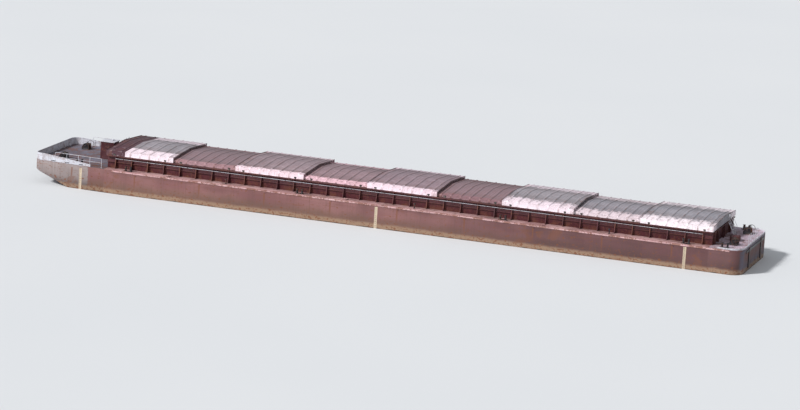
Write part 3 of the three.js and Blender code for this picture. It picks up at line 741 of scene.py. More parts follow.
class Recipe:
    """One material in the making: its nodes, with a Principled shader at the end."""

    def __init__(self, name: str) -> None:
        """Start an empty material.

        Args:
            name: The material's name.
        """
        self.material = bpy.data.materials.new(name)
        self.material.use_nodes = True
        self.nodes = self.material.node_tree.nodes
        self.links = self.material.node_tree.links
        self.shader = next(n for n in self.nodes if n.type == "BSDF_PRINCIPLED")
        self.place = self.output(self.add("ShaderNodeTexCoord"), "Object")
        self.x, self.y, self.z = self.parts(self.place)
        geometry = self.add("ShaderNodeNewGeometry")
        self.up = self.parts(self.output(geometry, "Normal"))[2]
        self.edge = self.rise(self.output(geometry, "Pointiness"), 0.512, 0.56)

    def output(self, node: bpy.types.Node, name: str | int) -> Signal:
        """One output of a node as a signal."""
        return Signal(self, node.outputs[name])

    def add(
        self,
        kind: str,
        settings: dict[str, Any] | None = None,
        sockets: dict[str | int, Any] | None = None,
    ) -> bpy.types.Node:
        """Add any node.

        Args:
            kind: Blender's type name.
            settings: Its properties, set first; "stops" fills a colour ramp.
            sockets: Values or signals for its inputs.

        Returns:
            The node.
        """
        node = self.nodes.new(kind)
        for name, value in (settings or {}).items():
            if name == "stops":
                for element, (at, colour) in zip(node.color_ramp.elements, value):
                    element.position = at
                    element.color = colour
            else:
                setattr(node, name, value)
        for name, value in (sockets or {}).items():
            self.feed(node.inputs[name], value)
        return node

    def feed(self, socket: bpy.types.NodeSocket, value: Any) -> None:
        """Link a signal to an input, or set its constant.

        Args:
            socket: The input.
            value: A signal or a constant.
        """
        if isinstance(value, Signal):
            self.links.new(value.socket, socket)
        else:
            socket.default_value = value

    def math(self, operation: str, first: Signal | float, second: Signal | float) -> Signal:
        """One Math node on two values."""
        node = self.add("ShaderNodeMath", {"operation": operation}, {0: first, 1: second})
        return self.output(node, 0)

    def parts(self, vector: Signal) -> list[Signal]:
        """The three parts of a vector."""
        node = self.add("ShaderNodeSeparateXYZ", None, {0: vector})
        return [self.output(node, i) for i in range(3)]

    def rise(self, value: Signal, low: float, high: float) -> Signal:
        """A soft step from 0 at low to 1 at high, or the other way round if low is above high.

        Args:
            value: What is looked at.
            low: Where it gives 0.
            high: Where it gives 1.

        Returns:
            The step.
        """
        flipped = low > high
        node = self.add(
            "ShaderNodeMapRange",
            {"interpolation_type": "SMOOTHSTEP"},
            {
                "Value": value,
                "From Min": min(low, high),
                "From Max": max(low, high),
                "To Min": 1.0 if flipped else 0.0,
                "To Max": 0.0 if flipped else 1.0,
            },
        )
        return self.output(node, 0)

    def noise(self, scale: float, stretch: Point = (1, 1, 1), detail: float = 3, warp: float = 0) -> Signal:
        """Cloudy noise over the piece.

        Args:
            scale: Clouds to a metre.
            stretch: How much finer it is along each axis.
            detail: Octaves.
            warp: Distortion.

        Returns:
            Values about 0.5.
        """
        scaled = self.add("ShaderNodeVectorMath", {"operation": "MULTIPLY"}, {0: self.place, 1: stretch})
        node = self.add(
            "ShaderNodeTexNoise",
            None,
            {"Vector": self.output(scaled, 0), "Scale": scale, "Detail": detail, "Distortion": warp},
        )
        return self.output(node, "Fac")

    def cells(self, pitch: Point, shift: Point = (0, 0, 0)) -> Signal:
        """One steady random value for each plate of a grid, given its pitch in millimetres.

        Args:
            pitch: A plate's sizes.
            shift: Where a plate's corner lies, in metres.

        Returns:
            A value from 0 to 1.
        """
        shifted = self.add("ShaderNodeVectorMath", {"operation": "ADD"}, {0: self.place, 1: shift})
        divided = self.add(
            "ShaderNodeVectorMath",
            {"operation": "DIVIDE"},
            {0: self.output(shifted, 0), 1: [p * MM for p in pitch]},
        )
        whole = self.add("ShaderNodeVectorMath", {"operation": "FLOOR"}, {0: self.output(divided, 0)})
        random_value = self.add("ShaderNodeTexWhiteNoise", None, {"Vector": self.output(whole, 0)})
        return self.output(random_value, "Value")

    def lines(self, value: Signal, pitch: float, wide: float, start: float = 0) -> Signal:
        """Thin lines at every pitch along one axis, as welds lie.

        Args:
            value: Place along the axis, in metres.
            pitch: Distance between lines, in millimetres.
            wide: Width of a line, in millimetres.
            start: Where one line lies, in millimetres.

        Returns:
            1 on a line and 0 away from it.
        """
        share = self.math("FRACT", (value - (start - pitch / 2) * MM) / (pitch * MM), 0)
        return self.rise(abs(share - 0.5), wide / pitch, wide / pitch / 4)

    def blend(self, first: Any, second: Any, share: Any) -> Signal:
        """Mix two colours.

        Args:
            first: Colour at share 0.
            second: Colour at share 1.
            share: How much of the second.

        Returns:
            The mixed colour.
        """
        settings = {"data_type": "RGBA", "blend_type": "MIX", "clamp_factor": True}
        node = self.add("ShaderNodeMix", settings, {0: share, 6: first, 7: second})
        return self.output(node, 2)

    def tone(self, colour: Signal, factor: Signal) -> Signal:
        """Lighten or darken a colour by a factor near 1."""
        node = self.add("ShaderNodeVectorMath", {"operation": "SCALE"}, {0: colour, "Scale": factor})
        return self.output(node, 0)

    def finish(self, colour: Any, rough: Any, height: Signal, relief: float, metal: Any = 0.0) -> Paint:
        """Feed the shader and return the material.

        Args:
            colour: Base colour.
            rough: Roughness.
            height: Relief from 0 to 1.
            relief: How high 1 stands, in millimetres.
            metal: Metallic.

        Returns:
            The finished material.
        """
        bump = self.add("ShaderNodeBump", None, {"Height": height, "Distance": relief * MM, "Strength": 1.0})
        self.feed(self.shader.inputs["Base Color"], colour)
        self.feed(self.shader.inputs["Roughness"], rough)
        self.feed(self.shader.inputs["Metallic"], metal)
        self.feed(self.shader.inputs["Normal"], self.output(bump, "Normal"))
        return self.material


def screen(red: float, green: float, blue: float) -> Colour:
    """A colour as a screen shows it, from 0 to 255, made linear for the shader.

    Args:
        red: Red.
        green: Green.
        blue: Blue.

    Returns:
        The linear colour with full alpha.
    """
    linear = [
        c / 12.92 if c <= 0.04045 else ((c + 0.055) / 1.055) ** 2.4
        for c in (red / 255, green / 255, blue / 255)
    ]
    return (linear[0], linear[1], linear[2], 1.0)


class Run(Enum):
    """Which way water runs off a surface, as the stretch of the noise that draws the streaks."""

    DOWN = (7.0, 7.0, 0.35)
    ACROSS = (7.0, 0.35, 1.5)
    NOWHERE = (3.0, 3.0, 3.0)


@dataclass(frozen=True)
class Weathered:
    """Old marine paint on steel: bleached patches, streaks, rust spots, worn edges and slight relief."""

    name: str
    paint: Colour
    faded: Colour
    rust: Colour = screen(116, 70, 46)
    dirt: Colour = screen(74, 62, 56)
    run: Run = Run.DOWN
    fade: float = 0.6
    runs: float = 0.5
    spots: float = 0.35
    edges: float = 0.6
    rough: float = 0.58
    relief: float = 5.0
    metal: float = 0.0

    def ground(self, r: Recipe) -> Signal:
        """The paint before rust and dirt: its colour with bleached patches.

        Args:
            r: The material in the making.

        Returns:
            The colour.
        """
        cloud = r.noise(0.55, detail=3) * 0.55 + r.noise(4.5, detail=4) * 0.45
        return r.blend(self.paint, self.faded, r.rise(cloud, 0.4, 0.62) * self.fade)

    def rusted(self, r: Recipe) -> Signal:
        """Where rust shows: spots, and edges that have lost their paint.

        Args:
            r: The material in the making.

        Returns:
            1 where there is rust.
        """
        limit = 0.66 - 0.14 * self.spots
        spots = r.rise(r.noise(13, detail=6, warp=0.4), limit, limit + 0.07)
        chips = r.noise(2.4, detail=8, warp=0.4) * 0.6 + r.noise(17, detail=6, warp=0.2) * 0.4
        worn = r.edge * r.rise(chips, 0.48, 0.56) * self.edges
        return r.math("MAXIMUM", spots * min(1.0, self.spots * 2), worn)

    def grime(self, r: Recipe) -> tuple[Signal, Signal]:
        """Where dirt has run down or lies, and where rust has run in it.

        Args:
            r: The material in the making.

        Returns:
            The share of dirt and the share of rust.
        """
        streak = r.rise(r.noise(1.6, self.run.value, detail=4), 0.5, 0.74)
        thin = r.rise(r.noise(5.0, self.run.value, detail=3), 0.56, 0.7)
        return streak, thin * streak

    def extra_height(self, r: Recipe) -> Signal | float:
        """Relief beyond the paint's own, such as welds."""
        return 0.0

    def make(self) -> Paint:
        """Build the material.

        Returns:
            The finished material.
        """
        r = Recipe(self.name)
        grain = r.noise(34, detail=4)
        streak, rusty = self.grime(r)
        colour = r.blend(self.ground(r), self.dirt, streak * self.runs * 0.55)
        colour = r.blend(colour, self.rust, rusty * self.runs)
        rusted = self.rusted(r)
        colour = r.blend(colour, self.rust, rusted * 0.85)
        colour = r.tone(colour, grain * 0.24 + 0.88)
        rough = rusted * 0.25 + streak * 0.08 + grain * 0.16 + (self.rough - 0.1)
        height = grain * 0.25 + (1 - rusted) * 0.35 + self.extra_height(r)
        metal = (1 - rusted) * self.metal if self.metal else 0.0
        return r.finish(colour, rough, height, self.relief, metal)


@dataclass(frozen=True)
class HullPaint(Weathered):
    """Faded red topsides over a band of dried dirt and painted water reflection, a pale head with painted
    shade on its down-facing faces, painted shade on the stern end, and welded plates.
    """

    dusty: Colour = screen(144, 102, 99)
    middle: Colour = screen(110, 79, 69)
    aft: Colour = screen(74, 43, 47)
    # dried dirt and a painted reflection of the water, near the waterline
    scum: Colour = screen(152, 124, 100)
    wet: Colour = screen(50, 40, 34)
    head: Colour = screen(138, 125, 123)
    head_low: Colour = screen(100, 86, 83)
    # painted shade: bluish grey laid on the head's down-facing faces
    rake: Colour = screen(84, 80, 92)
    # painted shade: the bluish grey of the stern end in shadow
    transom: Colour = screen(88, 82, 96)
    head_length: float = 6350
    plate: Point = (6000, 9000, 1290)

    def ground(self, r: Recipe) -> Signal:
        """Colour by height and length, from the deck's edge down to the bottom.

        Args:
            r: The material in the making.

        Returns:
            The colour.
        """
        drift = r.noise(1.1, (1, 1, 0.4), detail=4) * 0.5 - 0.25
        level = r.z + drift
        cloud = r.rise(r.noise(0.5, (1, 1, 2), detail=4), 0.36, 0.66)
        top = r.blend(self.paint, self.dusty, cloud * self.fade)
        side = r.blend(self.middle, top, r.rise(level, 0.62, 1.1))
        side = r.blend(side, self.aft, r.rise(r.x + drift * 8, -4, 13) * 0.72)
        side = r.blend(side, self._head(r, level), self._ahead(r))
        side = r.tone(side, r.cells(self.plate, (40, 0, -0.02)) * 0.18 + 0.91)
        side = r.tone(side, r.noise(0.4, (1, 1, 2.2), detail=6) * 0.8 + 0.6)
        # painted shade over the stern end's face and its corner
        behind = r.rise(r.x, (HULL_STERN - 420) * MM, (HULL_STERN - 160) * MM)
        side = r.blend(side, self.transom, behind)
        water = WATERLINE * MM
        tide = r.z + (r.noise(2.6, (1, 1, 0.2), detail=5) - 0.5) * 0.12
        # band of dried dirt with a painted reflection of the water above the waterline
        side = r.blend(side, self.scum, r.rise(tide, water + 0.32, water + 0.16) * 0.8)
        return r.blend(side, self.wet, r.rise(tide, water + 0.045, water + 0.015) * 0.9)

    def _head(self, r: Recipe, level: Signal) -> Signal:
        """The head's pale paint, darker low down, with painted shade on its down-facing faces."""
        pale = r.blend(self.head_low, self.head, r.rise(level, 0.5, 1.05))
        # painted shade where the head's faces look down
        return r.blend(pale, self.rake, r.rise(r.up, -0.1, -0.5) * 0.8)

    def _ahead(self, r: Recipe) -> Signal:
        """Whether a point lies ahead of the head's painted edge."""
        edge = (-LENGTH / 2 + self.head_length) * MM
        return r.rise(r.x + r.noise(5, detail=2) * 0.02, edge + 0.03, edge)

    def rusted(self, r: Recipe) -> Signal:
        """Spots and scrapes, more of them near the waterline, and a run under each scupper.

        Args:
            r: The material in the making.

        Returns:
            1 where there is rust.
        """
        near = r.rise(r.z, 0.95, 0.35)
        spots = r.rise(r.noise(7, (1, 1, 1.4), detail=7, warp=0.5) + near * 0.07, 0.6, 0.68)
        scrape = r.rise(r.noise(2.2, (0.35, 1, 9), detail=5), 0.62, 0.7) * r.rise(r.z, 0.7, 1.2)
        blotch = r.rise(r.noise(0.8, (1, 1, 1.8), detail=7, warp=0.7), 0.6, 0.68)
        run = r.lines(r.x + r.noise(3, (1, 1, 0.5)) * 0.05, BAY, 130, HOLD_FORE + BAY / 2 - 50)
        run = run * r.rise(r.z, 0.5, 1.1) * r.rise(r.z, 1.42, 1.38)
        worn = r.math("MAXIMUM", scrape * 0.6, blotch * 0.55)
        return r.math("MAXIMUM", r.math("MAXIMUM", spots, worn), run * 0.8)

    def extra_height(self, r: Recipe) -> Signal:
        """Weld beads round the plates."""
        return r.lines(r.x, self.plate[0], 26, 40) * 0.8 + r.lines(r.z, self.plate[2], 26) * 0.8


@dataclass(frozen=True)
class DeckPaint(Weathered):
    """Gritty deck paint, worn along the walkways and stained where rain stands."""

    plate: tuple[float, float] = (3000, 1500)
    run: Run = Run.NOWHERE
    rough: float = 0.8
    relief: float = 4

    def ground(self, r: Recipe) -> Signal:
        """Plate by plate, with trodden paths and dried puddles.

        Args:
            r: The material in the making.

        Returns:
            The colour.
        """
        cloud = r.noise(0.7, detail=9, warp=0.4)
        colour = r.blend(self.paint, self.faded, r.rise(cloud, 0.38, 0.64) * self.fade)
        path = r.rise(abs(abs(r.y) - 2.62), 0.16, 0.03) * r.rise(r.noise(1.4, detail=4), 0.38, 0.6)
        colour = r.blend(colour, self.faded, path * 0.6)
        puddle = r.rise(r.noise(1.1, detail=2, warp=0.3), 0.6, 0.64)
        colour = r.blend(colour, self.dirt, puddle * 0.4)
        return r.tone(colour, r.cells((*self.plate, 9000), (40, 0, 0.7)) * 0.14 + 0.93)

    def grime(self, r: Recipe) -> tuple[Signal, Signal]:
        """Dirt in broad patches with ragged edges, and rust where they are worst.

        Args:
            r: The material in the making.

        Returns:
            The share of dirt and the share of rust.
        """
        level = r.noise(0.55, detail=2, warp=0.5) * 0.5 + r.noise(3.4, detail=9, warp=0.3) * 0.5
        chipped = r.rise(r.noise(16, detail=7, warp=0.3), 0.44, 0.56)
        return r.rise(level, 0.44, 0.62), r.rise(level, 0.52, 0.58) * chipped

    def extra_height(self, r: Recipe) -> Signal:
        """Grit in the paint and the welds between plates.

        Args:
            r: The material in the making.

        Returns:
            The height.
        """
        long, wide = self.plate
        welds = r.lines(r.x, long, 24, 40) + r.lines(r.y, wide, 24)
        return r.noise(150, detail=2) * 0.8 + welds * 0.6


@dataclass(frozen=True)
class HoldSteel(Weathered):
    """Hold plating with little paint left: rusty in broad patches, and scoured low down by the cargo."""

    runs: float = 0.8
    rough: float = 0.7
    scoured: Colour = screen(138, 130, 120)

    def ground(self, r: Recipe) -> Signal:
        """Old paint above, and bright scrapes along the floor and low on the sides.

        Args:
            r: The material in the making.

        Returns:
            The colour.
        """
        low = r.rise(r.z, 0.95, 0.3) * r.rise(r.noise(2.6, (0.5, 0.5, 3), detail=8), 0.5, 0.62)
        return r.blend(super().ground(r), self.scoured, low * 0.6)

    def rusted(self, r: Recipe) -> Signal:
        """Broad patches with ragged edges, and pits all over.

        Args:
            r: The material in the making.

        Returns:
            1 where there is rust.
        """
        patch = r.rise(r.noise(0.9, (1, 1, 0.6), detail=9, warp=0.5), 0.45, 0.62)
        pits = r.rise(r.noise(13, detail=6, warp=0.4), 0.58, 0.7)
        return r.math("MAXIMUM", patch * 0.85, pits * 0.6)


@dataclass(frozen=True)
class CoverPaint(Weathered):
    """Sheet covers: dull crowns with grime towards the eaves, and pale paint on the skirts and eaves,
    brightened as a painted highlight of the sun on them.

    The first cover's fore end, up to primed_to, has been repaired and has dark primer only.
    """

    dirt: Colour = screen(96, 80, 78)
    run: Run = Run.ACROSS
    runs: float = 0.4
    spots: float = 0.3
    edges: float = 0.5
    rough: float = 0.5
    relief: float = 6
    metal: float = 0.1
    # painted highlight: pale paint brightened as sun shining on the eaves and skirts
    skirt: Colour = screen(244, 226, 232)
    primer: Colour = screen(82, 50, 60)
    primed_to: float = -LENGTH
    reach: float = HIGH_SKIRT
    eave: float = 800
    soft: float = 300

    def ground(self, r: Recipe) -> Signal:
        """Crown and the paint down to the skirts, pale and brightened as a painted highlight, with a ragged
        edge between them.

        Args:
            r: The material in the making.

        Returns:
            The colour.
        """
        crown = super().ground(r)
        soft = self.soft * MM
        ragged = (r.noise(5, (1, 0.6, 1), detail=9, warp=0.4) - 0.5) * (soft * 1.8)
        far = abs(r.y) + r.noise(2.2, (1, 0.4, 1), detail=4) * 0.3 - 0.15 + ragged
        edge = (self.reach - self.eave) * MM
        crown = r.blend(crown, self.dirt, r.rise(far, edge - 0.7, edge) * 0.25)
        worn = r.rise(r.noise(7, (1, 0.6, 1), detail=5), 0.6, 0.68)
        # painted highlight: how much of the brightened paint of the eaves and skirts a point gets
        share = r.rise(far, edge + soft * 0.15, edge + soft * 0.85)
        whole = r.blend(crown, self.skirt, share * (1 - worn * 0.45))
        edge = self.primed_to * MM
        brushed = r.x + r.noise(5, (1, 0.2, 0.2), detail=4) * 0.06
        return r.blend(whole, self.primer, r.rise(brushed, edge + 0.04, edge) * (1 - worn * 0.3))

    def extra_height(self, r: Recipe) -> Signal:
        """Slight waves in the sheet."""
        return r.noise(1.7, detail=2) * 2.0


@dataclass(frozen=True)
class WornSteel:
    """Bare steel that rollers, rope and pins have polished, with grease and rust between."""

    name: str
    bright: Colour = screen(142, 138, 132)
    grease: Colour = screen(44, 38, 34)
    rust: Colour = screen(110, 68, 46)
    scale: float = 18

    def make(self) -> Paint:
        """Build the material.

        Returns:
            The finished material.
        """
        r = Recipe(self.name)
        patch = r.noise(self.scale, detail=5, warp=0.3)
        film = r.rise(patch, 0.44, 0.6)
        colour = r.blend(self.bright, self.grease, film * 0.8)
        spot = r.rise(r.noise(self.scale * 2.2, detail=5), 0.56, 0.66)
        colour = r.blend(colour, self.rust, spot * 0.7)
        rough = spot * 0.3 + patch * 0.2 + 0.3
        return r.finish(colour, rough, patch * 0.6 + r.noise(160, detail=2) * 0.4, 1.5, (1 - spot) * 0.8)


@dataclass(frozen=True)
class Rubber:
    """Weathered rubber of the seals between covers."""

    name: str
    colour: Colour = screen(38, 36, 36)
    chalk: Colour = screen(88, 84, 82)

    def make(self) -> Paint:
        """Build the material.

        Returns:
            The finished material.
        """
        r = Recipe(self.name)
        bloom = r.noise(20, detail=5)
        colour = r.blend(self.colour, self.chalk, r.rise(bloom, 0.42, 0.7) * 0.6)
        return r.finish(colour, bloom * 0.2 + 0.7, r.noise(120, detail=2), 0.8)


def tin(finish: Weathered | WornSteel | Rubber) -> Any:
    """A field of the paint locker, whose finish is mixed when the locker is filled."""
    return field(default_factory=finish.make)


@dataclass
class PaintLocker:
    """Every finish on the barge, made once."""

    hull: Paint = tin(HullPaint("hull_paint", screen(120, 78, 77), screen(144, 102, 99)))
    deck: Paint = tin(DeckPaint("deck_paint", screen(172, 130, 130), screen(200, 162, 160)))
    fore_deck: Paint = tin(DeckPaint("fore_deck_paint", screen(98, 95, 108), screen(128, 124, 138)))
    aft_deck: Paint = tin(DeckPaint("aft_deck_paint", screen(176, 158, 172), screen(206, 190, 204)))
    hold: Paint = tin(HoldSteel("hold_steel", screen(108, 98, 92), screen(132, 118, 108)))
    coaming: Paint = tin(
        Weathered("coaming_paint", screen(68, 21, 30), screen(98, 46, 52), fade=0.45, runs=0.6)
    )
    strake: Paint = tin(
        Weathered(
            "strake_paint", screen(188, 146, 148), screen(212, 178, 178), runs=0.3, spots=0.6, edges=0.9
        )
    )
    black: Paint = tin(
        Weathered("black_paint", screen(27, 26, 31), screen(52, 50, 56), edges=0.7, rough=0.45)
    )
    pale: Paint = tin(
        Weathered("pale_paint", screen(206, 206, 214), screen(180, 180, 188), spots=0.3, edges=0.5, rough=0.5)
    )
    cream: Paint = tin(
        Weathered("mark_paint", screen(210, 192, 166), screen(184, 164, 142), spots=0.3, runs=0.7, rough=0.5)
    )
    zinc: Paint = tin(
        Weathered("zinc", screen(158, 160, 160), screen(196, 196, 190), rust=screen(150, 140, 120), rough=0.7)
    )
    steel: Paint = tin(WornSteel("bare_steel"))
    rope: Paint = tin(WornSteel("wire_rope", bright=screen(120, 112, 100), scale=40))
    rubber: Paint = tin(Rubber("seal_rubber"))
    covers: dict[int, Paint] = field(init=False)

    def __post_init__(self) -> None:
        """Mix the paints of the covers."""
        self.covers = {number: self._cover(number) for number in range(1, BAYS + 1)}

    def _cover(self, number: int) -> Paint:
        """The finish of one cover, as the photograph shows its crown and its skirts.

        Args:
            number: The cover's number, from the bow.

        Returns:
            The finish.
        """
        # Each cover's second colour is pale paint brightened as a painted highlight of sun on the eaves and
        # skirts, on all but covers 2 and 6; eave and soft set how far up it reaches and how softly it ends.
        crown, skirt, eave, soft = {
            1: (screen(150, 144, 150), screen(240, 222, 230), 2100, 500),
            2: (screen(138, 116, 122), screen(168, 130, 136), 900, 300),
            3: (screen(150, 130, 136), screen(240, 214, 222), 900, 400),
            4: (screen(146, 122, 128), screen(232, 190, 200), 1000, 500),
            5: (screen(148, 126, 134), screen(240, 216, 226), 900, 400),
            6: (screen(142, 116, 122), screen(142, 106, 112), 900, 300),
            7: (screen(152, 146, 152), screen(238, 220, 228), 2600, 1700),
            8: (screen(146, 142, 150), screen(226, 208, 214), 2400, 1700),
            9: (screen(140, 138, 146), screen(244, 230, 236), 2600, 1900),
        }[number]
        bleached = tuple(0.75 * c + 0.25 * s for c, s in zip(crown, skirt))
        return CoverPaint(
            f"cover_{number}_paint",
            crown,
            bleached,
            skirt=skirt,
            reach=HIGH_SKIRT if is_high(number) else LOW_SKIRT,
            eave=eave,
            soft=soft,
            primed_to=HOLD_FORE + PRIMED if number == 1 else -LENGTH,
        ).make()


@dataclass
class Slipway:
    """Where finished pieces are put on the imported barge."""

    frame: dict[str, Any]
    paints: PaintLocker
    count: int = 0

    def node(self, name: str) -> Piece:
        """A CAD node's object."""
        return self.frame["nodes"][name]

    def launch(self, piece: Piece, name: str, body: str, slot: str, *stands_for: str) -> Piece:
        """Name a finished piece and make it ride on its body.

        Args:
            piece: The finished piece, in place.
            name: What it is called.
            body: The CAD body that it moves with.
            slot: The record's material slot of its finish; not used.
            *stands_for: CAD nodes that it replaces.

        Returns:
            The piece.
        """
        piece.name = name
        piece.data.name = name
        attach(piece, body)
        if stands_for:
            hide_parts(*stands_for)
        self.count += 1
        LOG.info("%s on %s: %d faces", name, body, len(piece.data.polygons))
        return piece


@dataclass
class Hull:
    """Bow and stern blocks, double bottom and wing tanks, with what is welded to the shell."""

    frame_pitch: float = 600
    stringer_pitch: float = 645
    dish: float = 11
    tank_head: float = 3080
    scupper: float = 42
    scupper_z: float = 2790
    collar: float = 62
    anode_long: float = 620
    anode_z: tuple[float, float] = (450, 560)
    anode_proud: float = 48
    anode_pitch: float = 14600
    anodes: int = 5
    strap_lap: float = 90
    strap_half: float = 18
    well_floor: float = 1400
    well_half: float = 1300
    well_clear: float = 500
    anode_start: float = 3000
    seed: int = 7

    def build(self, slip: Slipway) -> None:
        """Make and dress the whole hull.

        Args:
            slip: Where its pieces go.
        """
        self._blocks(slip)
        for side in Side:
            slip.launch(
                self._wing(side, slip.paints),
                f"side_plating_{side.word}",
                "hull",
                "hull_paint",
                f"wing_tank_{side.word}",
            )
            scuppers = Bench.coat(self._scuppers(side), slip.paints.hull)
            slip.launch(scuppers, f"scuppers_{side.word}", "hull", "hull_paint")
            anodes = Bench.coat(self._anodes(side), slip.paints.zinc)
            slip.launch(anodes, f"anodes_{side.word}", "hull", "pale_paint")

    def _blocks(self, slip: Slipway) -> None:
        """Bow, stern and bottom as merged copies of their nodes, with rounded plate edges.

        Args:
            slip: Where the pieces go.
        """

        def indoors(place: Vector, normal: Vector) -> bool:
            """Whether a face looks into the hold or into a well.

            Args:
                place: The face's middle.
                normal: Its normal.

            Returns:
                Whether it does.
            """
            at_end = abs(place.x - HOLD_FORE) < 2 or abs(place.x - HOLD_AFT) < 2
            upright = abs(normal.x) + abs(normal.y) > 0.99
            off_ends = HULL_BOW + self.well_clear < place.x < HULL_STERN - self.well_clear
            inboard = abs(place.y) < self.well_half and off_ends
            well = place.z > self.well_floor and upright and inboard
            floor = abs(place.z - TANK_TOP) < 2 and normal.z > SQUARE
            return at_end or well or floor

        for name, slot in (
            ("hull_bow", "bow_paint"),
            ("hull_stern", "hull_paint"),
            ("double_bottom", "hull_paint"),
        ):
            piece = Bench.from_node(slip.node(name))
            Bench.coat(piece, slip.paints.hull)
            Bench.coat(piece, slip.paints.hold, indoors)
            Bench.soften(piece, 14, 2, 50)
            slip.launch(piece, f"{name}_plating", "hull", slot, name)

    def _wing(self, side: Side, paints: PaintLocker) -> Piece:
        """One wing tank. Its outer plating is dished between the frames, as old plating is.

        Args:
            side: The vessel's side.
            paints: The finishes.

        Returns:
            The wing tank.
        """
        sign = side.value
        outer = sign * HALF_BEAM
        piece = Bench.block((HOLD_FORE, sign * HOLD_HALF, TANK_TOP), (HOLD_AFT, outer, self.tank_head))
        with Shaping(piece) as shape:
            shape.lengthwise(Axis.X).subdivide(round(HOLD_LENGTH / self.frame_pitch) * 4 - 1)
            shape.edges(lambda at, way: abs(way.z) > SQUARE and abs(at.y - outer) < 1).subdivide(15)
        draw = random.Random(self.seed + sign)
        depth = {}

        def dished(place: Vector) -> Vector:
            """Where a point of the plating lies.

            Args:
                place: Where the flat plating has it.

            Returns:
                Its new place.
            """
            if abs(place.y - outer) > 1:
                return place
            along = (place.x - HOLD_FORE) / self.frame_pitch
            up = (place.z - TANK_TOP) / self.stringer_pitch
            panel = (math.floor(along + 1e-4), math.floor(up + 1e-4))
            if panel not in depth:
                depth[panel] = self.dish * draw.uniform(0.3, 1.0)
            dent = depth[panel] * math.sin(math.pi * along) ** 2 * math.sin(math.pi * min(up, 3.999)) ** 2
            return Vector((place.x, sign * (half_width(place.x) - dent), place.z))

        Bench.press(piece, dished)
        Bench.coat(piece, paints.hull)
        Bench.coat(piece, paints.hold, lambda at, normal: normal.y * sign < -SQUARE)
        return Bench.smooth(piece, 30)

    def _scuppers(self, side: Side) -> Piece:
        """Deck drains: short spouts with a collar, one to a bay.

        Args:
            side: The vessel's side.

        Returns:
            All the scuppers of that side.
        """
        x = HOLD_FORE + BAY / 2
        y = side.value * HALF_BEAM
        out = side.value
        root = (x, y - out * 8, self.scupper_z)
        spout = Bench.rod(root, (x, y + out * 44, self.scupper_z), self.scupper, 16)
        with Shaping(spout) as shape:
            shape.facing(Axis.Y, out).inset(9).extrude((0, -out * 30, 0))
        collar = Bench.rod(root, (x, y + out * 8, self.scupper_z), self.collar, 20)
        both = Bench.soften(Bench.join(spout, collar), 3)
        return Bench.repeat(both, BAYS, (BAY, 0, 0))

    def _anodes(self, side: Side) -> Piece:
        """Cast zinc anodes on weld straps, under the waterline.

        Args:
            side: The vessel's side.

        Returns:
            All the anodes of that side.
        """
        x = HOLD_FORE + self.anode_start
        out = side.value
        low, high = self.anode_z
        middle = (low + high) / 2
        half = self.anode_long / 2
        face = out * (HALF_BEAM + self.anode_proud)
        body = Bench.block((x - half, out * (HALF_BEAM + 8), low), (x + half, face, high))
        with Shaping(body) as shape:
            shape.facing(Axis.Y, out).scale((0.84, 1, 0.6), (x, 0, middle))
        reach = half + self.strap_lap
        strap = Bench.block(
            (x - reach, out * (HALF_BEAM - 4), middle - self.strap_half),
            (x + reach, out * (HALF_BEAM + 12), middle + self.strap_half),
        )
        anode = Bench.soften(Bench.join(body, strap), 5)
        return Bench.repeat(anode, self.anodes, (self.anode_pitch, 0, 0))


@dataclass
class DraughtMarks:
    """Pale draught scales on each side, near the ends and amidships, with ticks and no figures."""

    along: tuple[float, float, float] = (5500, 38250, 70600)
    wide: float = 300
    low: float = 560
    high: float = 2840
    thick: float = 7
    ticks: int = 11
    tick_pitch: float = 200
    tick_proud: float = 3
    bars: tuple[Point, ...] = ((140, 165, 40), (240, 258, -40))  # foot, head and reach of each tick

    def build(self, slip: Slipway) -> None:
        """Make the six scales.

        Args:
            slip: Where they go.
        """
        for side in Side:
            for aft, word in zip(self.along, ("fore", "middle", "aft")):
                scale = self._scale(side, aft - LENGTH / 2, slip.paints)
                slip.launch(scale, f"draught_scale_{word}_{side.word}", "hull", "pale_paint")

    def _scale(self, side: Side, x: float, paints: PaintLocker) -> Piece:
        """One scale, laid on the side plating at a place along it.

        Args:
            side: The vessel's side.
            x: The scale's middle along the vessel.
            paints: The finishes.

        Returns:
            The scale.
        """
        sign = side.value
        half = self.wide / 2
        plate = Bench.block((x - half, -6, self.low), (x + half, self.thick, self.high))
        with Shaping(plate) as shape:
            shape.facing(Axis.Y).inset(10).extrude((0, -2, 0))
        Bench.coat(Bench.soften(plate, 2, 1), paints.cream)
        start, face = x - half + 30, self.thick + self.tick_proud
        bars = []
        for foot, head, reach in self.bars:
            bars.append(Bench.block((start, 2, self.low + foot), (x + reach, face, self.low + head)))
        ticks = Bench.join(*bars)
        Bench.coat(Bench.repeat(ticks, self.ticks, (0, 0, self.tick_pitch)), paints.black)
        scale = Bench.join(plate, ticks)

        def onto_side(place: Vector) -> Vector:
            """Lay the scale on the plating, which draws in towards the head."""
            return Vector((place.x, sign * (half_width(place.x) + place.y), place.z))

        Bench.press(scale, onto_side)
        if sign < 0:
            with Shaping(scale) as shape:
                shape.mend()
        return scale


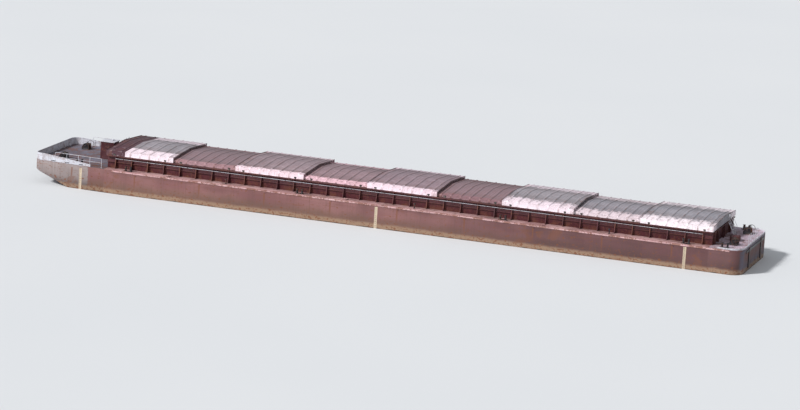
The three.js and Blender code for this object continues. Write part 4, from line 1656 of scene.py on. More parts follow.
@dataclass
class RubbingGear:
    """Rubbing strakes along the sides, and the heavy bars across both ends where other hulls push."""

    low: float = 2880
    high: float = 3060
    proud: float = 60
    lengths: int = 11
    joint: float = 16

    def build(self, slip: Slipway) -> None:
        """Make the strakes and the end bars.

        Args:
            slip: Where they go.
        """
        for side in Side:
            strake = Bench.coat(self._strake(side), slip.paints.strake)
            name = f"rubbing_strake_{side.word}"
            slip.launch(strake, f"{name}_bars", "hull", "hull_paint", name)
        for name in ("head_bar", "transom_bars"):
            bar = Bench.soften(Bench.from_node(slip.node(name)), 22, 3, 25)
            # the rounding may not reach past the vessel's length
            Bench.press(bar, lambda at: Vector((min(at.x, LENGTH / 2), at.y, at.z)))
            Bench.coat(bar, slip.paints.black)
            slip.launch(bar, f"{name}_steel", "hull", "black_paint", name)

    def _strake(self, side: Side) -> Piece:
        """One side's strake, in lengths that butt with an open joint, on a backing flat.

        Args:
            side: The vessel's side.

        Returns:
            The strake.
        """
        sign = side.value
        start = HULL_BOW + HEAD_TAPER
        length = (HULL_STERN - STERN_CORNER - start) / self.lengths
        middle = (self.low + self.high) / 2
        outer = sign * (HALF_BEAM + self.proud)
        bar = Bench.block(
            (start + self.joint / 2, sign * (HALF_BEAM - 10), self.low),
            (start + length - self.joint / 2, outer, self.high),
        )
        with Shaping(bar) as shape:
            shape.facing(Axis.Y, sign).scale((0.997, 1, 0.5), (start + length / 2, 0, middle))
        Bench.soften(bar, 9, 2)
        return Bench.repeat(bar, self.lengths, (length, 0, 0))


@dataclass
class Decks:
    """Deck plating fore, aft and along the sides, with the fittings of the side decks."""

    plate: float = 20
    bar_wide: float = 70
    bar_high: float = 22
    fittings_y: float = 5310
    rim: float = 300
    rim_high: float = 62
    lid: float = 345
    lid_high: float = 84
    lid_panel: float = 95
    lid_bolts: float = 305
    grip_x: float = 110
    grip_half: float = 60
    vent_high: float = 440
    vent_flange: float = 115
    vent_bolts: float = 92
    vent_pipe: float = 58
    vent_head: float = 140
    bollards: tuple[float, ...] = (2600, 21600, 43400, 62400)
    manholes: tuple[float, ...] = (7000, 26500, 47500)
    vents: tuple[float, ...] = (13500, 34000, 54500)

    def build(self, slip: Slipway) -> None:
        """Dress the end decks and make the side decks.

        Args:
            slip: Where the pieces go.
        """
        paints = slip.paints
        Bench.coat(slip.node("deck_fore"), paints.fore_deck)
        Bench.coat(slip.node("deck_aft"), paints.aft_deck)
        patterns = {
            "bollard": Bollard().make(paints),
            "manhole": self._manhole(paints),
            "vent": self._vent(paints),
        }
        places = {"bollard": self.bollards, "manhole": self.manholes, "vent": self.vents}
        for side in Side:
            strip = Bench.coat(self._strip(side), paints.deck)
            slip.launch(
                strip, f"side_deck_plating_{side.word}", "hull", "deck_paint", f"side_deck_{side.word}"
            )
            for word, pattern in patterns.items():
                for number, aft in enumerate(places[word], 1):
                    move = (HOLD_FORE + aft, side.value * self.fittings_y, DEPTH)
                    fitting = Bench.copy(pattern, move)
                    slot = "deck_paint" if word == "manhole" else "black_paint"
                    slip.launch(fitting, f"{word}_{side.word}_{number}", "hull", slot)
        Bench.drop(*patterns.values())

    def _strip(self, side: Side) -> Piece:
        """One side deck: its plating, with a half-round bar along its edge.

        Args:
            side: The vessel's side.

        Returns:
            The side deck.
        """
        sign = side.value
        strip = Bench.block(
            (HOLD_FORE, sign * HOLD_HALF, DEPTH - self.plate), (HOLD_AFT, sign * HALF_BEAM, DEPTH)
        )
        with Shaping(strip) as shape:
            shape.lengthwise(Axis.X).subdivide(35)
            shape.slice((0, sign * (HALF_BEAM - self.bar_wide), 0), (0, 1, 0))
            shape.faces(lambda at, normal: normal.z > SQUARE and abs(at.y) > HALF_BEAM - self.bar_wide + 1)
            shape.inset(12).extrude((0, 0, self.bar_high))

        def drawn_in(place: Vector) -> Vector:
            """Follow the deck's edge where it draws in.

            Args:
                place: Where the straight strip has the point.

            Returns:
                Its new place.
            """
            shift = HALF_BEAM - half_width(place.x)
            at_edge = abs(place.y) > HALF_BEAM - self.bar_wide - 5
            return place - Vector((0, sign * shift, 0)) if at_edge else place

        return Bench.soften(Bench.press(strip, drawn_in), 5, 2)

    def _manhole(self, paints: PaintLocker) -> Piece:
        """A bolted manhole lid on its rim, with two grips, about its own middle.

        Args:
            paints: The finishes.

        Returns:
            The manhole.
        """
        top, grip = self.lid_high, self.lid_high - 14
        rim = Bench.rod((0, 0, -2), (0, 0, self.rim_high), self.rim, 40)
        lid = Bench.rod((0, 0, top - 32), (0, 0, top), self.lid, 40)
        with Shaping(lid) as shape:
            shape.facing(Axis.Z).inset(self.lid_panel).extrude((0, 0, -10)).inset(20).extrude((0, 0, 8))
        parts = [rim, Bench.soften(lid, 4)]
        bolts = circle(12, self.lid_bolts)
        parts.extend(Bench.rod((x, y, top - 4), (x, y, top + 13), 17, 6) for x, y in bolts)
        for x in (-self.grip_x, self.grip_x):
            feet = [(x, y, grip) for y in (-self.grip_half, self.grip_half)]
            parts.append(Bench.handle(*feet, (0, 0, 55), 9, 22, 1))
        return Bench.coat(Bench.join(*parts), paints.deck)

    def _vent(self, paints: PaintLocker) -> Piece:
        """A tank vent: a flanged pipe under a mushroom head, about its own middle.

        Args:
            paints: The finishes.

        Returns:
            The vent.
        """
        flange = Bench.soften(Bench.rod((0, 0, -2), (0, 0, 22), self.vent_flange, 24), 4)
        top = self.vent_high
        pipe = Bench.rod((0, 0, 10), (0, 0, top), self.vent_pipe, 24)
        head = Bench.rod((0, 0, top - 10), (0, 0, top + 60), self.vent_head, 28, self.vent_head - 12)
        with Shaping(head) as shape:
            shape.facing(Axis.Z).inset(45, 22).inset(40, 8)
            shape.facing(Axis.Z, -1).inset(22).extrude((0, 0, 40))
        parts = [flange, pipe, Bench.soften(head, 6)]
        parts.extend(Bench.rod((x, y, 20), (x, y, 36), 13, 6) for x, y in circle(4, self.vent_bolts, 45))
        return Bench.coat(Bench.join(*parts), paints.black)


@dataclass
class Bollard:
    """A double bollard: two capped posts with side horns on a gusseted base, its long side along x."""

    long: float = 1000
    wide: float = 420
    base: float = 30
    radius: float = 110
    high: float = 520
    cap: float = 50
    cap_lap: float = 35
    spread: float = 560
    waist: float = 234
    horn: float = 26
    horn_z: float = 330
    horn_reach: float = 75
    gusset: float = 150

    def make(self, paints: PaintLocker) -> Piece:
        """Make one bollard about the middle of its foot.

        Args:
            paints: The finishes.

        Returns:
            The bollard.
        """
        base = Bench.block((-self.long / 2, -self.wide / 2, -4), (self.long / 2, self.wide / 2, self.base))
        with Shaping(base) as shape:
            shape.lengthwise(Axis.Z).bevel(60, 4)
            shape.facing(Axis.Z).inset(18).extrude((0, 0, 6))
        parts = [Bench.soften(base, 5)]
        for x in (-self.spread / 2, self.spread / 2):
            parts.append(self._post(x))
            for sign in (-1, 1):
                parts.append(self._gusset(x, sign))
        return Bench.coat(Bench.join(*parts), paints.black)

    def _post(self, x: float) -> Piece:
        """One post with its waist, domed cap and cross horn.

        Args:
            x: The post's middle.

        Returns:
            The post.
        """
        post = Bench.rod((x, 0, self.base), (x, 0, self.high - self.cap), self.radius, 28)
        with Shaping(post) as shape:
            shape.slice((0, 0, self.waist), (0, 0, 1))
            shape.edges(lambda at, way: abs(at.z - self.waist) < 1 and abs(way.z) < 0.1)
            shape.scale((0.93, 0.93, 1), (x, 0, self.waist)).bevel(90, 4)
        low, high = self.high - self.cap, self.high - 18
        cap = Bench.rod((x, 0, low), (x, 0, high), self.radius + self.cap_lap, 32)
        with Shaping(cap) as shape:
            shape.facing(Axis.Z).inset(26, 14).inset(50, 4)
        reach = self.radius + self.horn_reach
        horn = Bench.rod((x, -reach, self.horn_z), (x, reach, self.horn_z), self.horn, 16)
        return Bench.join(Bench.smooth(post), Bench.soften(cap, 6, 3, 20), Bench.soften(horn, 10, 3))

    def _gusset(self, x: float, sign: int) -> Piece:
        """A triangular plate between the base and a post, across the vessel.

        Args:
            x: The post's middle.
            sign: Which side of the post, -1 or 1.

        Returns:
            The plate.
        """
        reach = self.wide / 2 - 35
        low = (x - 9, sign * (self.radius - 12), self.base)
        plate = Bench.block(low, (x + 9, sign * reach, self.base + self.gusset))
        normal = Vector((0, sign * (self.gusset - 20), reach - self.radius)).normalized()
        with Shaping(plate) as shape:
            shape.slice((x, sign * reach, self.base + 20), normal, off=True)
        return plate


@dataclass
class SideCoaming:
    """A side of the hold's coaming: wall, belt, flange, cover rails, stays, storm rail and clamps."""

    plate: float = 60
    flange: float = 400
    flange_thick: float = 40
    belt: tuple[float, float] = (3720, 3750)
    belt_wide: float = 130
    rails: tuple[float, float] = (4540, 4770)
    rail_wide: float = 60
    stay_pitch: float = 1800
    stay_foot: float = 330
    stay_head: float = 160
    stay_toe: float = 80
    stay_half: float = 15
    stay_face: float = 12
    grab_z: float = 4150
    grab_y: float = 4775
    grab_root: float = 4660
    clip_root: float = 4690
    clamp_pitch: float = 3600
    clamp_drop: float = 42
    clamp_out: float = 15
    eye_high: float = 70
    bolt_long: float = 173
    nut_drop: float = 196

    def build(self, slip: Slipway) -> None:
        """Make both sides.

        Args:
            slip: Where they go.
        """
        for side in Side:
            name = f"coaming_{side.word}"
            wall = Bench.join(self._wall(side), self._stays(side))
            Bench.coat(wall, slip.paints.coaming)
            Bench.coat(
                wall,
                slip.paints.hold,
                lambda at, n, s=side.value: n.y * s < -SQUARE and abs(at.y) < HOLD_HALF + 5,
            )
            self._polish_rails(wall, slip.paints)
            slip.launch(wall, f"{name}_plating", "hull", "coaming_paint", name)
            grab = Bench.coat(self._grab_rail(side), slip.paints.pale)
            slip.launch(grab, f"storm_rail_{side.word}", "hull", "pale_paint")
            clamps = Bench.coat(self._clamps(side), slip.paints.black)
            slip.launch(clamps, f"cover_clamps_{side.word}", "hull", "black_paint")

    def _polish_rails(self, wall: Piece, paints: PaintLocker) -> None:
        """Bare steel where the rollers run."""
        Bench.coat(wall, paints.steel, lambda at, normal: normal.z > SQUARE and at.z > RAIL_TOP - 2)

    def _wall(self, side: Side) -> Piece:
        """The plate wall, from which belt, flange and rails are pulled out.

        Args:
            side: The vessel's side.

        Returns:
            The wall.
        """
        sign = side.value
        outer = HOLD_HALF + self.plate
        under = COAMING_TOP - self.flange_thick
        low = (HOLD_FORE - self.plate, sign * HOLD_HALF, DEPTH)
        wall = Bench.block(low, (HOLD_AFT + self.plate, sign * outer, COAMING_TOP))
        with Shaping(wall) as shape:
            for z in (*self.belt, under):
                shape.slice((0, 0, z), (0, 0, 1))
            shape.faces(lambda at, n: n.y * sign > SQUARE and self.belt[0] < at.z < self.belt[1])
            shape.extrude((0, sign * self.belt_wide, 0))
            shape.faces(lambda at, n: n.y * sign > SQUARE and at.z > under)
            shape.extrude((0, sign * (self.flange - self.plate), 0))
            for rail in self.rails:
                for edge in (rail - self.rail_wide / 2, rail + self.rail_wide / 2):
                    shape.slice((0, sign * edge, 0), (0, 1, 0))
            shape.faces(
                lambda at, n: n.z > SQUARE
                and at.z > COAMING_TOP - 1
                and min(abs(abs(at.y) - rail) for rail in self.rails) < self.rail_wide / 2 - 1
            )
            shape.extrude((0, 0, RAIL_TOP - COAMING_TOP))
        return Bench.soften(wall, 5, 2)

    def _stays(self, side: Side) -> Piece:
        """Stays with a face flat, from the side deck up to the flange.

        Args:
            side: The vessel's side.

        Returns:
            All the stays of that side.
        """
        sign = side.value
        face = HOLD_HALF + self.plate
        under = COAMING_TOP - self.flange_thick
        x = HOLD_FORE + self.stay_pitch / 2
        foot = face + self.stay_foot
        low = (x - self.stay_half, sign * (face - 5), DEPTH)
        stay = Bench.block(low, (x + self.stay_half, sign * foot, under + 5))
        toe = DEPTH + self.stay_toe
        lean = self.stay_foot - self.stay_head
        normal = Vector((0, sign * (under - toe), lean)).normalized()
        flat = sign * self.stay_face
        with Shaping(stay) as shape:
            shape.slice((x, sign * foot, toe), normal, off=True)
            shape.faces(lambda at, n: n.z > 0.02 and n.y * sign > 0.5).extrude((0, -flat, 0))
            shape.scale((3.4, 1, 1), (x, 0, 0)).extrude((0, flat, 0))
        count = round(HOLD_LENGTH / self.stay_pitch)
        return Bench.repeat(Bench.soften(stay, 4, 1), count, (self.stay_pitch, 0, 0))

    def _grab_rail(self, side: Side) -> Piece:
        """A storm rail of pipe under the flange, carried on a clip at every second stay.

        Args:
            side: The vessel's side.

        Returns:
            The rail with its clips.
        """
        sign = side.value
        y = sign * self.grab_y
        z = self.grab_z
        start = HOLD_FORE + self.stay_pitch / 2
        root = sign * self.grab_root
        feet = [(x, root, z) for x in (start, HOLD_AFT - self.stay_pitch / 2)]
        rail = Bench.handle(*feet, (0, y - root, 0), 21, 60)
        pitch = 2 * self.stay_pitch
        x = start + pitch
        clip = Bench.rod((x, sign * self.clip_root, z), (x, y, z), 11, 10)
        collar = Bench.rod((x - 25, y, z), (x + 25, y, z), 29, 16)
        count = round(HOLD_LENGTH / pitch) - 1
        clips = Bench.repeat(Bench.soften(Bench.join(clip, collar), 3, 1), count, (pitch, 0, 0))
        return Bench.join(rail, clips)

    def _clamps(self, side: Side) -> Piece:
        """Swing bolts with wing nuts that hold the covers down, on eye plates under the flange's edge.

        Args:
            side: The vessel's side.

        Returns:
            All the clamps of that side.
        """
        sign = side.value
        x = HOLD_FORE + self.clamp_pitch / 2
        y = sign * (HOLD_HALF + self.flange - 34)
        under = COAMING_TOP - self.flange_thick
        foot = under - self.eye_high
        eye = Bench.block((x - 26, y - sign * 7, foot), (x + 26, y + sign * 7, under + 4))
        with Shaping(eye) as shape:
            shape.edges(lambda at, way: abs(way.y) > SQUARE and at.z < foot + 10).bevel(22, 4)
        z = under - self.clamp_drop
        pin = Bench.rod((x, y - sign * 24, z), (x, y + sign * 24, z), 11, 12)
        hang = y + sign * self.clamp_out
        bolt = Bench.rod((x, hang, z), (x, hang, z - self.bolt_long), 9, 12)
        drop = under - self.nut_drop
        nut = Bench.rod((x, hang, drop), (x, hang, drop + 28), 19, 12)
        low = (x - 52, hang - sign * 4, drop + 4)
        wing = Bench.wing(low, (x + 52, hang + sign * 4, drop + 24), -14)
        clamp = Bench.soften(Bench.join(eye, pin, bolt, nut, wing), 2, 1)
        return Bench.repeat(clamp, round(HOLD_LENGTH / self.clamp_pitch), (self.clamp_pitch, 0, 0))


@dataclass
class EndCoaming:
    """The coaming across an end of the hold, with flanged stays."""

    plate: float = 60
    flange: float = 260
    flange_thick: float = 40
    stays: tuple[float, ...] = (-3900, -2600, -300, 300, 2600, 3900)
    stay_foot: float = 300
    stay_head: float = 180
    stay_half: float = 15
    stay_face: float = 12

    def build(self, slip: Slipway) -> None:
        """Make both ends.

        Args:
            slip: Where they go.
        """
        for end in End:
            name = f"coaming_{end.word}"
            out = end.value
            wall = Bench.join(self._wall(end), *self._stays(end))
            Bench.coat(wall, slip.paints.coaming)
            Bench.coat(
                wall,
                slip.paints.hold,
                lambda at, n, o=out, f=end.face: n.x * o < -SQUARE and abs(at.x - f) < 8,
            )
            slip.launch(wall, f"{name}_plating", "hull", "coaming_paint", name)

    def _wall(self, end: End) -> Piece:
        """The plate wall with its flange pulled out.

        Args:
            end: The hold's end.

        Returns:
            The wall.
        """
        out = end.value
        under = COAMING_TOP - self.flange_thick
        low = (end.face, -HOLD_HALF, DEPTH)
        wall = Bench.block(low, (end.face + out * self.plate, HOLD_HALF, COAMING_TOP))
        with Shaping(wall) as shape:
            shape.slice((0, 0, under), (0, 0, 1))
            shape.faces(lambda at, n: n.x * out > SQUARE and at.z > under)
            shape.extrude((out * (self.flange - self.plate), 0, 0))
        return Bench.soften(wall, 5, 2)

    def _stays(self, end: End) -> list[Piece]:
        """The stays, modelled once and copied.

        Args:
            end: The hold's end.

        Returns:
            The stays.
        """
        out = end.value
        under = COAMING_TOP - self.flange_thick
        wall = end.face + out * (self.plate - 5)
        foot = end.face + out * self.stay_foot
        stay = Bench.block((wall, -self.stay_half, DEPTH), (foot, self.stay_half, under + 5))
        normal = Vector((out * (under - DEPTH), 0, self.stay_foot - self.stay_head)).normalized()
        flat = out * self.stay_face
        with Shaping(stay) as shape:
            shape.slice((foot, 0, DEPTH), normal, off=True)
            shape.faces(lambda at, n: n.z > 0.02 and n.x * out > 0.5).extrude((-flat, 0, 0))
            shape.scale((1, 3.0, 1), (0, 0, 0)).extrude((flat, 0, 0))
        Bench.soften(stay, 4, 1)
        made = [Bench.copy(stay, (0, y, 0)) for y in self.stays]
        Bench.drop(stay)
        return made


@dataclass
class Cover:
    """One rolling cover about its own middle: a gabled sheet with pressed ribs, end frames and rollers."""

    high: bool
    skirt_foot: float = RAIL_TOP + 20
    low_eave: float = 4750
    step: float = 220
    lap: float = 150
    gap: float = 20
    ridge_rise: float = 300
    rib_high: float = 48
    rib_wide: float = 180
    ribs: int = 7
    rib_slope: float = 34
    bead_high: float = 12
    bead_wide: float = 70
    bead_slope: float = 22
    skin: float = 34
    end_band: float = 50
    lug_inset: float = 620
    lug_in: float = 700
    roller_radius: float = 90
    roller_inset: float = 900
    roller_wide: float = 92
    box_half: float = 135
    box_wide: float = 96

    @property
    def outer(self) -> float:
        """Outer face of the skirts."""
        return HIGH_SKIRT if self.high else LOW_SKIRT

    @property
    def eave(self) -> float:
        """Height of the eave."""
        return self.low_eave + (self.step if self.high else 0)

    @property
    def half(self) -> float:
        """Half the cover's length, with the high one's lap and the low one's gap."""
        return BAY / 2 + (self.lap if self.high else -self.gap)

    @property
    def lip(self) -> float:
        """How far the end frames stand above the sheet."""
        return 50 if self.high else 60

    def stations(self) -> list[tuple[float, float, float]]:
        """Middle, width and height of each rib and bead along the sheet.

        Returns:
            The three sizes of each.
        """
        bay = 2 * self.half / self.ribs
        found = []
        for i in range(self.ribs):
            middle = -self.half + (i + 0.5) * bay
            found.append((middle, self.rib_wide, self.rib_high))
            if i:
                for share in (1 / 3, 2 / 3):
                    x = middle - bay + self.rib_wide / 2 + (bay - self.rib_wide) * share
                    found.append((x, self.bead_wide, self.bead_high))
        return found

    def sheet(self, paint: Paint) -> Piece:
        """The gabled sheet with its skirts, ribs, beads and end frames.

        Args:
            paint: Its finish.

        Returns:
            The sheet.
        """
        low = (-self.half, -self.outer, self.skirt_foot)
        sheet = Bench.block(low, (self.half, self.outer, self.eave))
        with Shaping(sheet) as shape:
            shape.faces(lambda at, n: n.z < -0.5 or abs(n.x) > 0.5)
            shape.delete()
            shape.lengthwise(Axis.Y).subdivide(1)
            shape.points(lambda at, n: abs(at.y) < 1 and at.z > self.eave - 1)
            shape.move((0, 0, self.ridge_rise))
            for x, wide, _ in self.stations():
                for edge in (x - wide / 2, x + wide / 2):
                    shape.slice((edge, 0, 0), (1, 0, 0))
            for rise, slope in ((self.rib_high, self.rib_slope), (self.bead_high, self.bead_slope)):
                spans = [(x, w / 2) for x, w, h in self.stations() if h == rise]
                shape.faces(lambda at, n: n.z > 0.5 and any(abs(at.x - x) < half for x, half in spans))
                shape.inset(slope, rise)
            self._skirt_panels(shape)
        Bench.modify(sheet, "SOLIDIFY", thickness=self.skin * MM, offset=-1, use_even_offset=True)
        return Bench.coat(Bench.soften(sheet, 5, 1, 25), paint)

    def _skirt_panels(self, shape: Shaping) -> None:
        """Sink the skirts a little between the ribs, which leaves a post under each rib.

        Args:
            shape: The sheet's editing session.
        """
        bay = 2 * self.half / self.ribs
        for i in range(1, self.ribs):
            middle = -self.half + i * bay
            reach = (bay - self.rib_wide) / 2
            shape.faces(lambda at, n: abs(n.y) > SQUARE and abs(at.x - middle) < reach)
            shape.inset(26, -14)

    def gable_bar(self, x: float, long: float, reach: float, low: float, high: float) -> Piece:
        """A bar across the cover that follows the gable.

        Args:
            x: Where it starts.
            long: Its length along the vessel.
            reach: Its half-width.
            low: Its underside, measured from the sheet.
            high: Its top, measured from the sheet.

        Returns:
            The bar.
        """
        drop = self.ridge_rise * (self.outer - reach) / self.outer
        bar = Bench.block((x, -reach, self.eave + low + drop), (x + long, reach, self.eave + high + drop))
        with Shaping(bar) as shape:
            shape.lengthwise(Axis.Y).subdivide(1)
            shape.points(lambda at, n: abs(at.y) < 1).move((0, 0, self.ridge_rise - drop))
        return bar

    def _band_start(self, end: int) -> float:
        """Where the band at an end of the cover starts, on its side towards the bow."""
        return end * self.half - (self.end_band if end > 0 else 0)

    def end_frame(self, end: int, paint: Paint) -> Piece:
        """A flat bar that stands up along the gable, with a foot flange, and on high covers a drop plate.

        Args:
            end: -1 for the end towards the bow and 1 for the other.
            paint: Its finish.

        Returns:
            The frame.
        """
        x = self._band_start(end)
        parts = [self.gable_bar(x + 17, 16, self.outer - 4, -10, self.lip)]
        parts.append(self.gable_bar(x, self.end_band, self.outer - 2, -6, 14))
        if self.high:
            parts.append(self.gable_bar(x, 12, self.outer - 66, -96, -30))
        return Bench.coat(Bench.soften(Bench.join(*parts), 3, 1, 25), paint)

    def seal(self, end: int, rubber: Paint) -> Piece:
        """A rubber strip along the end frame.

        Args:
            end: -1 for the end towards the bow and 1 for the other.
            rubber: Its finish.

        Returns:
            The strip.
        """
        start = self._band_start(end) + (34 if end > 0 else 2)
        strip = self.gable_bar(start, 14, self.outer - 8, 8, self.lip - 4)
        return Bench.coat(Bench.soften(strip, 4, 2, 25), rubber)

    def end_wall(self, end: int, paint: Paint) -> Piece:
        """The gable wall that closes an end of the hold, with pressed panels.

        Args:
            end: -1 for the end towards the bow and 1 for the other.
            paint: Its finish.

        Returns:
            The wall.
        """
        x = self._band_start(end)
        half = self.outer - 8
        wall = Bench.block((x, -half, self.skirt_foot), (x + self.end_band, half, self.eave - 6))
        with Shaping(wall) as shape:
            shape.lengthwise(Axis.Y).subdivide(11)
            for i in range(-5, 6):
                y = i * half / 6
                shape.points(lambda at, n: abs(at.y - y) < 2 and at.z > self.eave - 8)
                shape.move((0, 0, (half - abs(y)) * self.ridge_rise / half))
            shape.facing(Axis.X, end).inset(45, -16, each=True)
        return Bench.coat(Bench.soften(wall, 5, 1), paint)

    def lugs(self, paint: Paint) -> list[Piece]:
        """Lifting lugs near the corners, low enough to pass under the next cover.

        Args:
            paint: Their finish.

        Returns:
            The lugs.
        """
        made = []
        z = self.eave + self.ridge_rise * self.lug_in / self.outer
        for x in (-self.half + self.lug_inset, self.half - self.lug_inset):
            for y in (self.lug_in - self.outer, self.outer - self.lug_in):
                lug = Bench.block((x - 60, y - 9, z - 16), (x + 60, y + 9, z + 42))
                with Shaping(lug) as shape:
                    shape.edges(lambda at, way: abs(way.y) > SQUARE and at.z > z).bevel(26, 3)
                eye = Bench.rod((x, y - 14, z + 14), (x, y + 14, z + 14), 17, 12)
                made.append(Bench.coat(Bench.soften(Bench.join(lug, eye), 2, 1), paint))
        return made

    def rollers(self, steel: Paint, paint: Paint) -> Piece:
        """Four rollers in their housings.

        Args:
            steel: Finish of the rollers and their axles.
            paint: Finish of the housings.

        Returns:
            All of them as one piece.
        """
        y = self.outer - 30
        z = RAIL_TOP + self.roller_radius + 0.6
        wide = self.roller_wide / 2
        wheel = Bench.rod((0, y - wide, z), (0, y + wide, z), self.roller_radius, 32)
        with Shaping(wheel) as shape:
            shape.ends(Axis.Y).inset(16).inset(6, -12).inset(34).inset(5, 14)
        Bench.soften(wheel, 3, 1)
        axle = Bench.rod((0, y - wide - 3, z), (0, y + wide + 3, z), 15, 6)
        Bench.coat(Bench.join(wheel, axle), steel)
        half, wide = self.box_half, self.box_wide / 2
        box = Bench.block((-half, y - wide, z + 4), (half, y + wide, z + 118))
        with Shaping(box) as shape:
            shape.edges(lambda at, way: abs(way.y) > SQUARE and at.z > z + 100).bevel(60, 4)
            shape.ends(Axis.Y).inset(18, -5)
        Bench.coat(Bench.soften(box, 4, 1), paint)
        unit = Bench.join(wheel, box)
        made = []
        for x in (-self.half + self.roller_inset, self.half - self.roller_inset):
            for mirror in (False, True):
                made.append(Bench.copy(unit, (x, 0, 0), mirror))
        Bench.drop(unit)
        return Bench.join(*made)


@dataclass
class Covers:
    """The nine rolling covers, high and low in turn, modelled once of each kind and copied."""

    def build(self, slip: Slipway) -> None:
        """Make and dress the covers.

        Args:
            slip: Where they go.
        """
        patterns = {}
        for high in (True, False):
            kind = Cover(high)
            paint = slip.paints.covers[1 if high else 2]
            ends = [kind.end_frame(end, paint) for end in (-1, 1)]
            body = Bench.join(kind.sheet(paint), *ends, *kind.lugs(paint))
            seals = Bench.join(*[kind.seal(end, slip.paints.rubber) for end in (-1, 1)])
            patterns[high] = (body, seals, kind.rollers(slip.paints.steel, slip.paints.black))
        for number in range(1, BAYS + 1):
            self._place(slip, number, patterns)
        for parts in patterns.values():
            Bench.drop(*parts)

    def _place(self, slip: Slipway, number: int, patterns: dict[bool, tuple[Piece, ...]]) -> None:
        """Copy one cover to its bay, and close the hold's end where it is the first or last.

        Args:
            slip: Where it goes.
            number: The cover's number, from the bow.
            patterns: Body, seals and rollers of the high and the low kind.
        """
        high = is_high(number)
        name = f"cover_{number}_{'high' if high else 'low'}"
        middle = (HOLD_FORE + (number - 0.5) * BAY, 0, 0)
        paint = slip.paints.covers[number]
        body, seals, rollers = (Bench.copy(part, middle) for part in patterns[high])
        for index in range(len(body.data.materials)):
            body.data.materials[index] = paint
        end = {1: -1, BAYS: 1}.get(number)
        if end:
            pattern = Cover(True).end_wall(end, paint)
            wall = Bench.copy(pattern, middle)
            Bench.drop(pattern)
            body = Bench.join(body, wall)
        slot = "high_cover_paint" if high else "low_cover_paint"
        slip.launch(body, f"{name}_sheet", name, slot, name)
        slip.launch(seals, f"{name}_seals", name, "black_paint")
        slip.launch(rollers, f"{name}_rollers", name, "black_paint")


@dataclass(frozen=True)
class Bolts:
    """Hexagon heads on washers."""

    radius: float = 15
    high: float = 14

    def at(self, places: list[Point], way: Point = (0, 0, 1)) -> Piece:
        """Model one bolt and copy it to every place.

        Args:
            places: Where each washer lies.
            way: Which way the heads point.

        Returns:
            All the bolts as one piece.
        """
        up = Vector(way)
        washer = Bench.rod((0, 0, 0), tuple(up * 4), self.radius * 1.5, 12)
        head = Bench.rod(tuple(up * 3), tuple(up * self.high), self.radius, 6)
        bolt = Bench.soften(Bench.join(washer, head), 1.5, 1, 50)
        made = [Bench.copy(bolt, place) for place in places]
        Bench.drop(bolt)
        return Bench.join(*made)


@dataclass
class BowBulwark:
    """The pale plate round the bow, with a cap rail of pipe and brackets behind it."""

    inset: float = 40
    head_high: float = 700
    aft_high: float = 200
    head_run: float = 1200
    length: float = 6500
    corner: float = 860
    cap: float = 42
    bracket_foot: float = 130
    bracket_drop: float = 70
    brackets: tuple[float, ...] = (1500, 3000, 4600, 6100)

    def build(self, slip: Slipway) -> None:
        """Make and dress the bulwark.

        Args:
            slip: Where it goes.
        """
        plate = Bench.soften(Bench.from_node(slip.node("bow_bulwark")), 4, 1)
        parts = [plate, self._cap_rail()]
        for side in Side:
            parts.extend(self._bracket(side, along) for along in self.brackets)
        bulwark = Bench.coat(Bench.join(*parts), slip.paints.pale)
        slip.launch(bulwark, "bow_bulwark_plating", "hull", "pale_paint", "bow_bulwark")

    def _height(self, along: float) -> float:
        """Height of the plate above the deck at a distance from the bow."""
        share = max(0.0, along - self.head_run) / (self.length - self.head_run)
        return self.head_high + (self.aft_high - self.head_high) * share

    def _cap_rail(self) -> Piece:
        """The pipe along the plate's top edge, from side to side round the head.

        Returns:
            The rail.
        """
        halves = []
        for side in Side:
            half = []
            for along in (self.length, self.head_run, self.inset):
                x = HULL_BOW + along
                y = side.value * (half_width(x) - self.inset)
                half.append((x, y, DEPTH + self._height(along) + 10))
            halves.append(half)
        route = halves[0] + halves[1][::-1]
        return Bench.pipe(route, self.cap, [60, self.corner, self.corner, 60], 4)

    def _bracket(self, side: Side, along: float) -> Piece:
        """A three-cornered plate between the deck and the bulwark's inner face.

        Args:
            side: The vessel's side.
            along: Its distance from the bow.

        Returns:
            The bracket.
        """
        x = HULL_BOW + along
        wall = side.value * (half_width(x) - 56)
        foot = wall - side.value * self.bracket_foot
        top = self._height(along) - self.bracket_drop
        bracket = Bench.block((x - 8, foot, DECK_GRIP), (x + 8, wall, DEPTH + top))
        normal = Vector((0, -side.value * top, self.bracket_foot)).normalized()
        with Shaping(bracket) as shape:
            shape.slice((x, foot, DEPTH + 30), normal, off=True)
        return Bench.soften(bracket, 2, 1)


@dataclass
class ToePlate:
    """The low foot plate round the stern's edge, with short props on its inner side."""

    inset: float = 70
    high: float = 150
    prop_long: float = 70
    props: tuple[float, ...] = (-3600, -2400, -1200, 0, 1200, 2400, 3600)

    def build(self, slip: Slipway) -> None:
        """Make and dress the plate.

        Args:
            slip: Where it goes.
        """
        parts = [Bench.soften(Bench.from_node(slip.node("stern_toe_plate")), 5, 2)]
        x = HULL_STERN - self.inset
        tip = x - self.prop_long
        prop = Bench.block((tip, -8, DECK_GRIP), (x + 6, 8, DEPTH + self.high - 25))
        with Shaping(prop) as shape:
            shape.slice((tip, 0, DEPTH + 20), (-0.85, 0, 0.53), off=True)
        Bench.soften(prop, 2, 1)
        parts.extend(Bench.copy(prop, (0, y, 0)) for y in self.props)
        Bench.drop(prop)
        plate = Bench.coat(Bench.join(*parts), slip.paints.pale)
        slip.launch(plate, "stern_toe_plating", "hull", "pale_paint", "stern_toe_plate")


